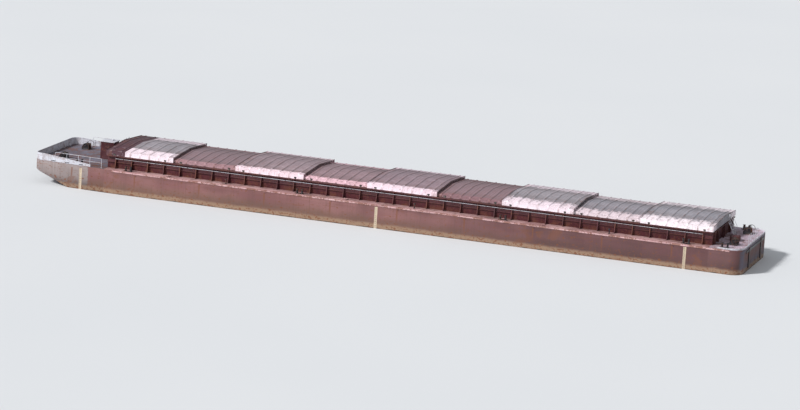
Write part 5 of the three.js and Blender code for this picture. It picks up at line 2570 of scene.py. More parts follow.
@dataclass
class Winch:
    """A coupling winch for the starboard side, about the middle of its foot; mirrored, it fits port."""

    long: float = 820
    high: float = 640
    gap: float = 620
    thick: float = 40
    foot: float = 40
    foot_half: float = 400
    drum_z: float = 430
    core: float = 150
    flange: float = 268
    flange_thick: float = 30
    clear: float = 12
    shaft: float = 60
    rope: float = 12
    turns: int = 22
    wheel: Point = (250, 565, 490)
    rim: float = 380
    tube: float = 22
    case_face: float = 426
    teeth: int = 24
    bolt_x: tuple[float, ...] = (-350, -120, 120, 350)
    bolt_y: float = 376
    tie_x: float = 345
    tie_z: float = 150
    bearing: float = 112
    drum_case: float = 200
    wheel_case: float = 110
    neck: tuple[float, float] = (-90, 150)
    stud_ring: float = 215
    brake_x: float = -312
    brake_top: float = 760
    pawl_x: float = 320
    pawl_z: float = 560
    pawl_tip: tuple[float, float] = (212, 642)

    def frame(self, paints: PaintLocker) -> Piece:
        """Foot, cheeks, ties, gear case, brake and pawl.

        Args:
            paints: The finishes.

        Returns:
            The frame.
        """
        half = self.long / 2
        foot = Bench.block((-half, -self.foot_half, -2), (half, self.foot_half, self.foot - 6))
        with Shaping(foot) as shape:
            shape.lengthwise(Axis.Z).bevel(30, 3)
            shape.facing(Axis.Z).inset(10, 4)
        parts = [Bench.soften(foot, 3, 1)]
        parts.extend(self._cheek(sign) for sign in (-1, 1))
        low_ties = [(x, self.tie_z) for x in (-self.tie_x, self.tie_x)]
        for x, z in (*low_ties, (self.pawl_x, self.pawl_z)):
            tie = Bench.rod((x, -self.gap / 2 - 4, z), (x, self.gap / 2 + 4, z), 19, 16)
            parts.append(Bench.smooth(tie))
        places = [(x, y, self.foot - 3) for x in self.bolt_x for y in (-self.bolt_y, self.bolt_y)]
        parts.append(Bolts(14, 20).at(places))
        Bench.coat(Bench.join(*parts), paints.black)
        brake = Bench.coat(self._brake(), paints.steel)
        return Bench.join(parts[0], self._gear_case(paints), brake)

    def _cheek(self, sign: int) -> Piece:
        """A side plate with a sunk panel on its outer face and a bearing cap inboard.

        Args:
            sign: -1 for the inboard plate and 1 for the outboard one.

        Returns:
            The plate.
        """
        inner = sign * self.gap / 2
        outer = inner + sign * self.thick
        half = self.long / 2
        cheek = Bench.block((-half, inner, self.foot - 8), (half, outer, self.high))
        with Shaping(cheek) as shape:
            shape.slice((half, 0, self.high * 0.55), (0.962, 0, 0.274), off=True)
            shape.slice((-half, 0, self.high * 0.45), (-0.82, 0, 0.573), off=True)
            shape.facing(Axis.Y, sign).inset(36).inset(9, -11)
        Bench.soften(cheek, 4, 1)
        if sign > 0:
            return cheek
        z = self.drum_z
        cap = Bench.rod((0, outer + 14, z), (0, outer - 26, z), self.bearing, 28)
        with Shaping(cap) as shape:
            shape.facing(Axis.Y, -1).inset(40).inset(12, 14)
        places = [(dx, outer - 25, z + dz) for dx, dz in circle(6, self.bearing - 26)]
        return Bench.join(cheek, Bench.soften(cap, 4, 2), Bolts(9, 11).at(places, (0, -1, 0)))

    def _gear_case(self, paints: PaintLocker) -> Piece:
        """The closed case over the gears, on the outboard cheek, with a bolted cover.

        Args:
            paints: The finishes.

        Returns:
            The case.
        """
        x, _, z = self.wheel
        start = self.gap / 2 + self.thick - 4
        face = self.case_face
        drum_end = Bench.rod((0, start, self.drum_z), (0, face, self.drum_z), self.drum_case, 40)
        wheel_end = Bench.rod((x, start, z), (x, face - 8, z), self.wheel_case, 32)
        low, high = self.neck
        neck = Bench.block((0, start, self.drum_z + low), (x, face - 18, self.drum_z + high))
        for end, rim in ((drum_end, 22), (wheel_end, 18)):
            with Shaping(end) as shape:
                shape.facing(Axis.Y).inset(rim).inset(6, -7)
        case = Bench.soften(Bench.join(drum_end, wheel_end, neck), 5, 2)
        places = []
        drum_ring, wheel_ring = self.drum_case - 11, self.wheel_case - 10
        rings = ((0, self.drum_z, drum_ring, 12, face - 1), (x, z, wheel_ring, 8, face - 9))
        for ring, other in (rings, rings[::-1]):
            middle_x, middle_z, reach, count, level = ring
            for dx, dz in circle(count, reach, 180 / count):
                bolt = (middle_x + dx, level, middle_z + dz)
                if math.dist(bolt[::2], other[:2]) > other[2] + 20:
                    places.append(bolt)
        return Bench.coat(Bench.join(case, Bolts(7, 9).at(places, (0, 1, 0))), paints.black)

    def _brake(self) -> Piece:
        """The brake band round the inboard flange, its screw spindle, and the pawl held off the ratchet.

        Returns:
            Band, spindle and pawl.
        """
        face = self.gap / 2 - self.clear
        z = self.drum_z
        band = Bench.rod((0, -face, z), (0, -face + self.flange_thick - 2, z), self.flange + 16, 48)
        with Shaping(band) as shape:
            shape.ends(Axis.Y)
            shape.delete()
        Bench.modify(band, "SOLIDIFY", thickness=10 * MM, offset=1)
        y = -face + self.flange_thick / 2
        x = self.brake_x
        top = self.brake_top
        spindle = Bench.rod((x, y, self.foot), (x, y, top), 11, 16)
        handle = Bench.soften(Bench.rod((x, y - 100, top - 8), (x, y + 100, top - 8), 12, 16), 5, 2)
        parts = [Bench.soften(band, 2, 1), Bench.smooth(spindle), handle]
        for low in (z - 72, z + 40):
            ear = Bench.block((x - 28, y - 13, low), (x + 24, y + 13, low + 32))
            nut = Bench.rod((x, y, low - 20), (x, y, low + 1), 21, 6)
            parts.append(Bench.soften(Bench.join(ear, nut), 3, 1))
        x, y, z = self.pawl_x, face - self.flange_thick / 2, self.pawl_z
        tip_x, tip_z = self.pawl_tip
        pawl = Bench.rod((x, y, z), (tip_x, y, tip_z), 17, 12, 8)
        boss = Bench.rod((x, y - 16, z), (x, y + 13, z), 34, 20)
        parts.append(Bench.soften(Bench.join(boss, pawl), 3, 2))
        return Bench.join(*parts)

    def drum(self, paints: PaintLocker) -> Piece:
        """The drum with its braked and its toothed flange, wound with wire rope.

        Args:
            paints: The finishes.

        Returns:
            The drum.
        """
        z = self.drum_z
        face = self.gap / 2 - self.clear
        inner = face - self.flange_thick
        core = Bench.smooth(Bench.rod((0, -inner, z), (0, inner, z), self.core, 32))
        reach = self.gap / 2 - 1
        axle = Bench.soften(Bench.rod((0, -reach, z), (0, reach, z), self.shaft, 24), 3, 1)
        plain = Bench.soften(Bench.rod((0, -face, z), (0, -inner, z), self.flange, 48), 5, 2)
        toothed = Bench.rod((0, inner, z), (0, face, z), self.flange - 18, 2 * self.teeth)
        pitch = 180 / self.teeth
        with Shaping(toothed) as shape:
            shape.faces(
                lambda at, n: abs(n.y) < 0.1
                and math.degrees(math.atan2(at.z - z, at.x)) % 360 // pitch % 2 == 0
            )
            shape.inset(3, 17, each=True)
        places = [(dx, inner, z + dz) for dx, dz in circle(8, self.stud_ring)]
        studs = Bolts(10, 12).at(places, (0, -1, 0))
        Bench.coat(Bench.join(core, axle, plain, Bench.soften(toothed, 2, 1), studs), paints.black)
        return Bench.join(core, Bench.coat(self._wound_rope(), paints.rope))

    def _wound_rope(self) -> Piece:
        """One layer of wire rope, a round section screwed along the drum.

        Returns:
            The rope.
        """
        reach = self.turns * (2 * self.rope + 1) / 2
        Bench.clear()
        bpy.ops.mesh.primitive_circle_add(
            vertices=8,
            radius=self.rope * MM,
            location=Vector((self.core + self.rope - 1, -reach, 0)) * MM,
        )
        rope = Bench.settle()
        Bench.modify(
            rope,
            "SCREW",
            axis="Y",
            angle=2 * math.pi,
            iterations=self.turns,
            screw_offset=(2 * self.rope + 1) * MM,
            steps=20,
            render_steps=20,
        )
        with Shaping(rope) as shape:
            shape.mend()
        Bench.press(rope, lambda at: at + Vector((0, 0, self.drum_z)))
        return Bench.smooth(rope, 60)

    def handwheel(self, paints: PaintLocker) -> Piece:
        """The handwheel with tapered spokes, hub, nut, shaft and crank knob.

        Args:
            paints: The finishes.

        Returns:
            The handwheel.
        """
        x, y, z = self.wheel
        rim = Bench.smooth(Bench.ring((x, y, z), self.rim, self.tube, 64, 12), 60)
        shaft = Bench.rod((x, self.case_face + 6, z), (x, y, z), 29, 20)
        collar = Bench.rod((x, self.case_face + 14, z), (x, self.case_face + 34, z), 44, 24)
        hub = Bench.rod((x, y - 35, z), (x, y + 33, z), 58, 28)
        nut = Bench.rod((x, y + 32, z), (x, y + 54, z), 36, 6)
        parts = [rim, Bench.soften(Bench.join(hub, collar, nut, shaft), 5, 2)]
        for near, far in zip(circle(4, 50), circle(4, self.rim - 8)):
            root, tip = ((x + dx, y, z + dz) for dx, dz in (near, far))
            parts.append(Bench.smooth(Bench.rod(root, tip, 20, 14, 13)))
        for dx, dz in circle(1, self.rim, 45):
            knob = Bench.rod((x + dx, y + 10, z + dz), (x + dx, y + 118, z + dz), 15, 16, 19)
            parts.append(Bench.soften(knob, 7, 3))
        return Bench.coat(Bench.join(*parts), paints.black)


@dataclass
class EndGear:
    """The four coupling winches and the four big double bollards on the end decks."""

    winch_x: tuple[float, float] = (HULL_BOW + 2400, HULL_STERN - 1500)
    winch_y: float = 3000
    bow_bollard: tuple[float, float] = (HULL_BOW + 4900, 4650)
    stern_bollard: tuple[float, float] = (HULL_STERN - 2000, 4850)

    def build(self, slip: Slipway) -> None:
        """Model one winch and one bollard and copy them to the four corners.

        Args:
            slip: Where they go.
        """
        winch = Winch()
        patterns = {
            "winch_frame": winch.frame(slip.paints),
            "winch_drum": winch.drum(slip.paints),
            "winch_handwheel": winch.handwheel(slip.paints),
            "bollard": Bollard().make(slip.paints),
        }
        corners = (("bow", self.winch_x[0], self.bow_bollard), ("stern", self.winch_x[1], self.stern_bollard))
        for end, winch_x, (bollard_x, bollard_y) in corners:
            for side in Side:
                for kind, pattern in patterns.items():
                    node = f"{kind}_{end}_{side.word}"
                    still = kind in ("winch_frame", "bollard")
                    place = (winch_x, side.value * self.winch_y, DEPTH)
                    if kind == "bollard":
                        place = (bollard_x, side.value * bollard_y, DEPTH)
                    made = Bench.copy(pattern, place, side is Side.PORT)
                    slip.launch(made, f"{node}_fitting", "hull" if still else node, "black_paint", node)
        Bench.drop(*patterns.values())


@dataclass(frozen=True)
class Hinge:
    """The knuckle and the longer pin of a hinge."""

    knuckle: float = 24
    knuckle_half: float = 69
    pin: float = 11.6
    pin_half: float = 116

    def barrel(self, middle: Point, way: Point) -> list[Piece]:
        """Model both about a middle.

        Args:
            middle: The hinge's middle.
            way: The direction of its pin.

        Returns:
            Knuckle and pin.
        """
        at, along = Vector(middle), Vector(way)
        sizes = ((self.knuckle_half, self.knuckle, 20), (self.pin_half, self.pin, 16))
        return [
            Bench.rod(tuple(at - along * half), tuple(at + along * half), radius, sides)
            for half, radius, sides in sizes
        ]


@dataclass
class Hood:
    """The companion hood over the way down to the fore tank, with its door in the fore face."""

    x0: float = -32600
    long: float = 1500
    wide: float = 1400
    high: float = 1850
    eave: float = 60
    roof: float = 50
    panel: float = 120
    louvre: tuple[float, float] = (DEPTH + 1180, DEPTH + 1560)
    louvre_half: float = 270
    slats: int = 6
    slat_pitch: float = 52
    vent_x: float = 1100
    vent_high: float = 214
    vent_neck: float = 62
    vent_cap: float = 128
    rail_y: float = 560
    rail_z: tuple[float, float] = (DEPTH + 900, DEPTH + 1600)
    door_half: float = 395
    door_low: float = DEPTH + 175
    door_high: float = DEPTH + 1715
    door_thick: float = 45
    pin: tuple[float, float] = (-32625, -420)
    hinge_z: tuple[float, float] = (DEPTH + 480, DEPTH + 1410)
    dog_y: float = 320
    dog_inset: float = 190
    grip_half: float = 130
    strap_long: float = 300
    strap_half: float = 42
    strap_bolts: tuple[float, ...] = (90, 170, 250)
    leaf_rim: float = 101
    angle_wide: float = 46
    angle_thick: float = 12
    grip: Point = (-32645, 290, DEPTH + 945)

    def build(self, slip: Slipway) -> None:
        """Make walls, roof and door.

        Args:
            slip: Where they go.
        """
        walls = Bench.join(self._walls(slip), *self._base(), self._louvre(), self._grab_rail())
        Bench.coat(walls, slip.paints.coaming)
        slip.launch(walls, "hood_plating", "hull", "coaming_paint", "hood_walls")
        roof = Bench.coat(self._roof(), slip.paints.pale)
        slip.launch(roof, "hood_roof_plating", "hull", "pale_paint", "hood_roof")
        door = Bench.coat(Bench.join(self._leaf(), *self._door_gear()), slip.paints.coaming)
        gasket = Bench.coat(self._gasket(), slip.paints.rubber)
        slip.launch(Bench.join(door, gasket), "hood_door_plating", "hood_door", "coaming_paint", "hood_door")

    def _walls(self, slip: Slipway) -> Piece:
        """The walls with sunk panels in the sides and the aft face.

        Args:
            slip: Gives the CAD node that they are copied from.

        Returns:
            The walls.
        """
        walls = Bench.from_node(slip.node("hood_walls"))
        aft = self.x0 + self.long
        with Shaping(walls) as shape:
            shape.faces(
                lambda at, n: (abs(n.y) > SQUARE and abs(at.y) > self.wide / 2 - 5)
                or (n.x > SQUARE and at.x > aft - 5)
            )
            shape.inset(self.panel).inset(10, -9)
        return Bench.soften(walls, 5, 2)

    def _base(self) -> list[Piece]:
        """The angle bars that hold the walls to the deck, with their bolts.

        Returns:
            The bars and the bolts.
        """
        half = self.wide / 2
        fore, aft = self.x0, self.x0 + self.long
        parts = []
        wide = self.angle_wide
        top = DEPTH + self.angle_thick
        for sign in (-1, 1):
            low = (fore - wide, sign * (half - 4), DECK_GRIP)
            parts.append(Bench.block(low, (aft + wide, sign * (half + wide), top)))
        for low, high in ((fore - wide, fore + 4), (aft - 4, aft + wide)):
            parts.append(Bench.block((low, 2 - half, DECK_GRIP), (high, half - 2, top - 1)))
        parts = [Bench.soften(part, 3, 1) for part in parts]
        places = []
        for i in range(6):
            x = fore + self.long * (i + 0.5) / 6
            places.extend((x, sign * (half + 25), DEPTH + 11) for sign in (-1, 1))
        for i in range(5):
            y = -half + self.wide * (i + 0.5) / 5
            places.extend((x, y, DEPTH + 10) for x in (fore - 26, aft + 26))
        return [*parts, Bolts(8, 11).at(places)]

    def _louvre(self) -> Piece:
        """A slatted vent high on the port side.

        Returns:
            The vent.
        """
        y = -self.wide / 2
        x = self.x0 + self.long / 2
        half = self.louvre_half
        low, high = self.louvre
        box = Bench.block((x - half, y - 30, low), (x + half, y + 12, high))
        with Shaping(box) as shape:
            shape.facing(Axis.Y, -1).inset(26).inset(3, -30)
        parts = [Bench.soften(box, 4, 1)]
        half -= 24
        slat = Bench.block((x - half, y - 24, low + 36), (x + half, y + 4, low + 42))
        with Shaping(slat) as shape:
            shape.points(lambda at, n: at.y > y).move((0, 0, 26))
        parts.extend(Bench.copy(slat, (0, 0, i * self.slat_pitch)) for i in range(self.slats))
        Bench.drop(slat)
        return Bench.join(*parts)

    def _grab_rail(self) -> Piece:
        """An upright grab rail beside the door."""
        feet = [(self.x0 + 4, self.rail_y, z) for z in self.rail_z]
        return Bench.handle(*feet, (-74, 0, 0), 14, 36)

    def _roof(self) -> Piece:
        """The roof with its folded edge, raised crown and a mushroom vent.

        Returns:
            The roof.
        """
        head = DEPTH + self.high
        half = self.wide / 2 + self.eave
        fore, aft = self.x0 - self.eave, self.x0 + self.long + self.eave
        roof = Bench.block((fore, -half, head - 26), (aft, half, head + self.roof))
        with Shaping(roof) as shape:
            shape.facing(Axis.Z).inset(52).inset(60, 16)
            shape.facing(Axis.Z, -1).inset(14).inset(3, -20)
        x = self.x0 + self.vent_x
        top = head + self.vent_high
        neck = Bench.rod((x, 0, head + self.roof + 8), (x, 0, top - 64), self.vent_neck, 24)
        cap = Bench.rod((x, 0, top - 74), (x, 0, top), self.vent_cap, 32)
        with Shaping(cap) as shape:
            shape.facing(Axis.Z).inset(34, 14).inset(40, 6)
        return Bench.join(Bench.soften(roof, 6, 2), Bench.soften(Bench.join(cap, neck), 5, 2, 25))

    def _leaf(self) -> Piece:
        """The door's leaf with a stiffened rim and two pressed panels.

        Returns:
            The leaf.
        """
        face = self.x0 - self.door_thick
        half = self.door_half
        leaf = Bench.block((face, -half, self.door_low), (self.x0 - 14, half, self.door_high))
        with Shaping(leaf) as shape:
            shape.lengthwise(Axis.X).bevel(70, 5)
            shape.facing(Axis.X, -1).inset(34).inset(7, -9)
        parts = [Bench.soften(leaf, 4, 2)]
        middle = (self.door_low + self.door_high) / 2
        rim = self.leaf_rim
        for low, high in ((self.door_low + rim, middle - 60), (middle + 60, self.door_high - rim)):
            panel = Bench.block((face + 8, rim - half, low), (face + 14, half - rim, high))
            with Shaping(panel) as shape:
                shape.lengthwise(Axis.X).bevel(40, 4)
                shape.facing(Axis.X, -1).inset(16, 10)
            parts.append(Bench.smooth(panel, 50))
        return Bench.join(*parts)

    def _gasket(self) -> Piece:
        """The rubber seal between the leaf and the wall.

        Returns:
            The seal.
        """
        strip = Bench.block(
            (self.x0 - 15, -self.door_half + 12, self.door_low + 12),
            (self.x0 - 2, self.door_half - 12, self.door_high - 12),
        )
        with Shaping(strip) as shape:
            shape.ends(Axis.X).inset(20)
            shape.delete()
        Bench.modify(strip, "SOLIDIFY", thickness=3 * MM, offset=-1)
        return Bench.soften(strip, 1, 1)

    def _door_gear(self) -> list[Piece]:
        """Hinges, lever dogs and handle.

        Returns:
            What is fitted to the leaf.
        """
        x, y = self.pin
        face = self.x0 - self.door_thick
        parts = []
        for z in self.hinge_z:
            barrel = Hinge().barrel((x, y, z), (0, 0, 1))
            half, tip = self.strap_half, y + self.strap_long
            strap = Bench.block((face - 7, y + 20, z - half), (face + 3, tip, z + half))
            with Shaping(strap) as shape:
                shape.points(lambda at, n: at.y > tip - 10).scale((1, 1, 0.45), (face, tip, z))
            leg = Bench.block((x - 16, y, z - half), (x + 6, y + 30, z + half))
            places = [(face - 6, y + reach, z) for reach in self.strap_bolts]
            parts.append(Bench.soften(Bench.join(*barrel, strap, leg), 3, 2))
            parts.append(Bolts(8, 9).at(places, (-1, 0, 0)))
        for z in (self.door_low + self.dog_inset, self.door_high - self.dog_inset):
            spindle = Bench.rod((face + 4, self.dog_y, z), (face - 46, self.dog_y, z), 20, 20)
            lever = Bench.rod((face - 36, self.dog_y, z), (face - 36, 190, z + 40), 13, 14, 9)
            parts.append(Bench.soften(Bench.join(spindle, lever), 4, 2))
        x, y, z = self.grip
        feet = [(x + 4, y, z + reach) for reach in (-self.grip_half, self.grip_half)]
        return [*parts, Bench.handle(*feet, (-56, 0, 0), 13, 36)]


@dataclass
class Hatch:
    """The low trunk over the way down to the aft tank, and its hinged lid."""

    x0: float = 35850
    y: float = -900
    side: float = 900
    high: float = 450
    lap: float = 40
    thick: float = 40
    pin_x: float = 35850 - 67
    hinge_y: float = 250
    panel: float = 80
    rim_wide: float = 24
    rim_z: tuple[float, float] = (-44, -26)
    foot_wide: float = 30
    strap_long: float = 160
    strap_half: float = 40
    grip_half: float = 110
    nuts: tuple[float, float] = (330, 700)

    def build(self, slip: Slipway) -> None:
        """Make trunk and lid.

        Args:
            slip: Where they go.
        """
        trunk = Bench.coat(self._trunk(slip), slip.paints.coaming)
        slip.launch(trunk, "hatch_trunk_plating", "hull", "coaming_paint", "hatch_trunk")
        lid = Bench.coat(Bench.join(self._plate(), *self._lid_gear()), slip.paints.coaming)
        slip.launch(lid, "hatch_lid_plating", "hatch_lid", "coaming_paint", "hatch_lid")

    def _trunk(self, slip: Slipway) -> Piece:
        """The trunk with sunk panels, and flat bars round its rim and its foot.

        Args:
            slip: Gives the CAD node that it is copied from.

        Returns:
            The trunk.
        """
        half = self.side / 2
        aft = self.x0 + self.side
        trunk = Bench.from_node(slip.node("hatch_trunk"))
        with Shaping(trunk) as shape:
            shape.faces(
                lambda at, n: (abs(n.y) > SQUARE and abs(at.y - self.y) > half - 5)
                or (n.x > SQUARE and at.x > aft - 5)
            )
            shape.inset(self.panel).inset(8, -8)
        parts = [Bench.soften(trunk, 4, 1)]
        low, high = (DEPTH + self.high + level for level in self.rim_z)
        rim, foot = self.rim_wide, self.foot_wide
        bars = [((aft - 3, self.y - half, low), (aft + rim, self.y + half, high))]
        for sign in (-1, 1):
            edge = self.y + sign * half
            inner, fore = edge - sign * 3, self.x0
            bars.append(((fore + 4, inner, low), (aft + rim, edge + sign * rim, high)))
            bars.append(((fore - foot, inner, DECK_GRIP), (aft + foot, edge + sign * foot, DEPTH + 10)))
        parts.extend(Bench.soften(Bench.block(*corners), 3, 1) for corners in bars)
        return Bench.join(*parts)

    def _plate(self) -> Piece:
        """The lid's plate, with a pressed crown.

        Returns:
            The plate.
        """
        half = self.side / 2 + self.lap
        top = DEPTH + self.high
        low = (self.x0 - self.lap, self.y - half, top + 2)
        plate = Bench.block(low, (self.x0 + self.side + self.lap, self.y + half, top + self.thick - 12))
        with Shaping(plate) as shape:
            shape.facing(Axis.Z).inset(70).inset(34, 14).inset(150).inset(10, -6)
            shape.lengthwise(Axis.Z).bevel(45, 4)
        return Bench.soften(plate, 4, 2, 15)

    def _lid_gear(self) -> list[Piece]:
        """Hinges, grip and wing nuts.

        Returns:
            What is fitted to the lid.
        """
        top = DEPTH + self.high
        z = top + self.thick / 2
        parts = []
        for sign in (-1, 1):
            y = self.y + sign * self.hinge_y
            barrel = Hinge().barrel((self.pin_x, y, z), (0, 1, 0))
            half, tip = self.strap_half, self.x0 + self.strap_long
            strap = Bench.block((self.pin_x, y - half, top + 26), (tip, y + half, top + 35))
            with Shaping(strap) as shape:
                shape.points(lambda at, n: at.x > tip - 10).scale((1, 0.5, 1), (0, y, 0))
            places = [(self.x0 + reach, y, top + 34) for reach in (0, 80)]
            parts.append(Bench.soften(Bench.join(*barrel, strap), 3, 2))
            parts.append(Bolts(8, 9).at(places))
        x = self.x0 + self.side - 60
        feet = [(x, self.y + reach, top + 24) for reach in (-self.grip_half, self.grip_half)]
        parts.append(Bench.handle(*feet, (0, 0, 76), 13, 34))
        for dx in self.nuts:
            for sign in (-1, 1):
                place = (self.x0 + dx, self.y + sign * (self.side / 2 + 6), top + 24)
                parts.append(self._wing_nut(place))
        return parts

    def _wing_nut(self, at: Point) -> Piece:
        """A wing nut on the lid's edge.

        Args:
            at: Where its washer lies.

        Returns:
            The nut.
        """
        x, y, z = at
        washer = Bench.rod((x, y, z), (x, y, z + 10), 26, 20)
        stem = Bench.rod((x, y, z + 8), (x, y, z + 62), 14, 16, 10)
        wing = Bench.wing((x - 50, y - 4, z + 26), (x + 50, y + 4, z + 44), 16)
        return Bench.soften(Bench.join(washer, stem, wing), 3, 2)


@dataclass
class Steps:
    """Steps over the end coamings, with pipe handrails."""

    y: float = 1500
    wide: float = 700
    string: float = 40
    string_deep: float = 130
    tread_deep: float = 200
    treads: int = 4
    clear: float = 300
    run: float = 700
    rail_high: float = 900
    post_back: float = 60
    knee_high: float = 470
    tube: float = 23.5
    pad: tuple[float, float] = (110, 60)
    pad_bolts: float = 80

    def build(self, slip: Slipway) -> None:
        """Make the steps at both ends of the hold.

        Args:
            slip: Where they go.
        """
        for end in End:
            parts = [self._string(end, sign) for sign in (-1, 1)]
            parts += self._treads(end)
            parts += [self._handrail(end, sign) for sign in (-1, 1)]
            steps = Bench.coat(Bench.join(*parts), slip.paints.pale)
            slip.launch(steps, f"steps_{end.word}", "hull", "pale_paint", f"ladder_{end.word}")

    def _feet(self, end: End) -> tuple[float, float]:
        """Where the steps' top and foot stand along the vessel."""
        near = end.face + end.value * self.clear
        return near, near + end.value * self.run

    def _string(self, end: End, sign: int) -> Piece:
        """A sloping string of flanged plate, on a bolted foot pad.

        Args:
            end: The hold's end.
            sign: Which side of the steps, -1 or 1.

        Returns:
            The string with its pad.
        """
        near, far = self._feet(end)
        out = end.value
        y = self.y + sign * self.wide / 2
        low = (far, y - self.string / 2, DEPTH)
        string = Bench.block(low, (far + out * self.string_deep, y + self.string / 2, COAMING_TOP))
        with Shaping(string) as shape:
            shape.points(lambda at, n: at.z > COAMING_TOP - 1).move((near - far, 0, 0))
            shape.facing(Axis.Y, sign).inset(20).inset(4, -14)
        middle = far + out * self.string_deep / 2
        along, across = self.pad
        low = (middle - along, y - across, DECK_GRIP)
        pad = Bench.block(low, (middle + along, y + across, DEPTH + 12))
        ends = (middle - self.pad_bolts, middle + self.pad_bolts)
        places = [(x, y + sign * 38, DEPTH + 11) for x in ends]
        return Bench.join(Bench.soften(string, 4, 1), Bench.soften(pad, 3, 1), Bolts(9, 12).at(places))

    def _treads(self, end: End) -> list[Piece]:
        """The treads, each with raised bars against slipping.

        Args:
            end: The hold's end.

        Returns:
            The treads.
        """
        near, far = self._feet(end)
        half = self.tread_deep / 2
        reach = self.wide / 2 - self.string / 2 + 3
        plate = Bench.block((-half, self.y - reach, -34), (half, self.y + reach, -6))
        with Shaping(plate) as shape:
            shape.facing(Axis.Z).inset(12, -6)
        bar = Bench.block((-half + 20, self.y - reach + 10, -14), (-half + 32, self.y + reach - 10, -1))
        tread = Bench.join(Bench.soften(plate, 2, 1), Bench.repeat(Bench.soften(bar, 2, 1), 6, (29, 0, 0)))
        made = []
        for i in range(1, self.treads + 1):
            share = i / (self.treads + 0.4)
            x = far + (near - far) * share + end.value * self.string_deep / 2
            made.append(Bench.copy(tread, (x, 0, DEPTH + (COAMING_TOP - DEPTH) * share)))
        Bench.drop(tread)
        return made

    def _handrail(self, end: End, sign: int) -> Piece:
        """Posts and rail in one bent pipe, with a knee rail between the posts.

        Args:
            end: The hold's end.
            sign: Which side of the steps, -1 or 1.

        Returns:
            The handrail.
        """
        near, far = self._feet(end)
        y = self.y + sign * self.wide / 2
        foot, head = far + end.value * self.post_back, near + end.value * self.post_back
        route = [
            (foot, y, DEPTH + 55),
            (foot, y, DEPTH + self.rail_high),
            (head, y, COAMING_TOP + self.rail_high),
            (head, y, COAMING_TOP - 60),
        ]
        knee_foot = (foot, y, DEPTH + self.knee_high)
        knee = Bench.rod(knee_foot, (head, y, COAMING_TOP + self.knee_high), 15, 14)
        return Bench.join(Bench.pipe(route, self.tube, 110), Bench.smooth(knee))


@dataclass
class Railings:
    """Open railings across the stern and along both sides of the fore deck."""

    high: float = 976
    mid: float = 520
    tube: float = 24
    stern_x: float = HULL_STERN - 260
    bow_x: float = HULL_BOW + 2300
    bow_pitch: float = 1350
    bow_inset: float = 230
    stern_pitch: float = 1000
    posts: int = 5
    foot_half: float = 62
    bolt_reach: float = 44
    socket: float = 70

    def build(self, slip: Slipway) -> None:
        """Make the three railings.

        Args:
            slip: Where they go.
        """
        across = [(self.stern_x, self.stern_pitch * (i - 2)) for i in range(self.posts)]
        self._run(slip, "stern", across)
        for side in Side:
            places = []
            for i in range(self.posts):
                x = self.bow_x + self.bow_pitch * i
                places.append((x, side.value * (half_width(x) - self.bow_inset)))
            self._run(slip, f"bow_{side.word}", places)

    def _run(self, slip: Slipway, name: str, places: list[tuple[float, float]]) -> None:
        """One railing through its posts' places.

        Args:
            slip: Where it goes.
            name: The railing's name after "railing_".
            places: x and y of each post.
        """
        first, last = places[0], places[-1]
        top = DEPTH + self.high
        parts = [Bench.handle((*first, DEPTH), (*last, DEPTH), (0, 0, self.high), self.tube, 120)]
        knee = Bench.rod((*first, DEPTH + self.mid), (*last, DEPTH + self.mid), self.tube * 0.7, 14)
        parts.append(Bench.smooth(knee))
        for x, y in places[1:-1]:
            parts.append(Bench.smooth(Bench.rod((x, y, DEPTH), (x, y, top), self.tube, 16)))
        for x, y in places:
            parts.append(self._foot(x, y))
            ball = Bench.rod((x, y, DEPTH + self.mid - 28), (x, y, DEPTH + self.mid + 28), self.tube + 9, 20)
            parts.append(Bench.soften(ball, 10, 3))
        railing = Bench.coat(Bench.join(*parts), slip.paints.pale)
        slip.launch(railing, f"railing_{name}_pipes", "hull", "pale_paint", f"railing_{name}")

    def _foot(self, x: float, y: float) -> Piece:
        """A bolted foot plate with a socket.

        Args:
            x: Place along the vessel.
            y: Place across it.

        Returns:
            The foot.
        """
        half, reach = self.foot_half, self.bolt_reach
        plate = Bench.block((x - half, y - half, DECK_GRIP), (x + half, y + half, DEPTH + 11))
        socket = Bench.rod((x, y, DEPTH + 8), (x, y, DEPTH + self.socket), self.tube + 9, 20)
        places = [(x + dx, y + dy, DEPTH + 10) for dx in (-reach, reach) for dy in (-reach, reach)]
        return Bench.join(Bench.soften(Bench.join(plate, socket), 3, 2), Bolts(7, 10).at(places))


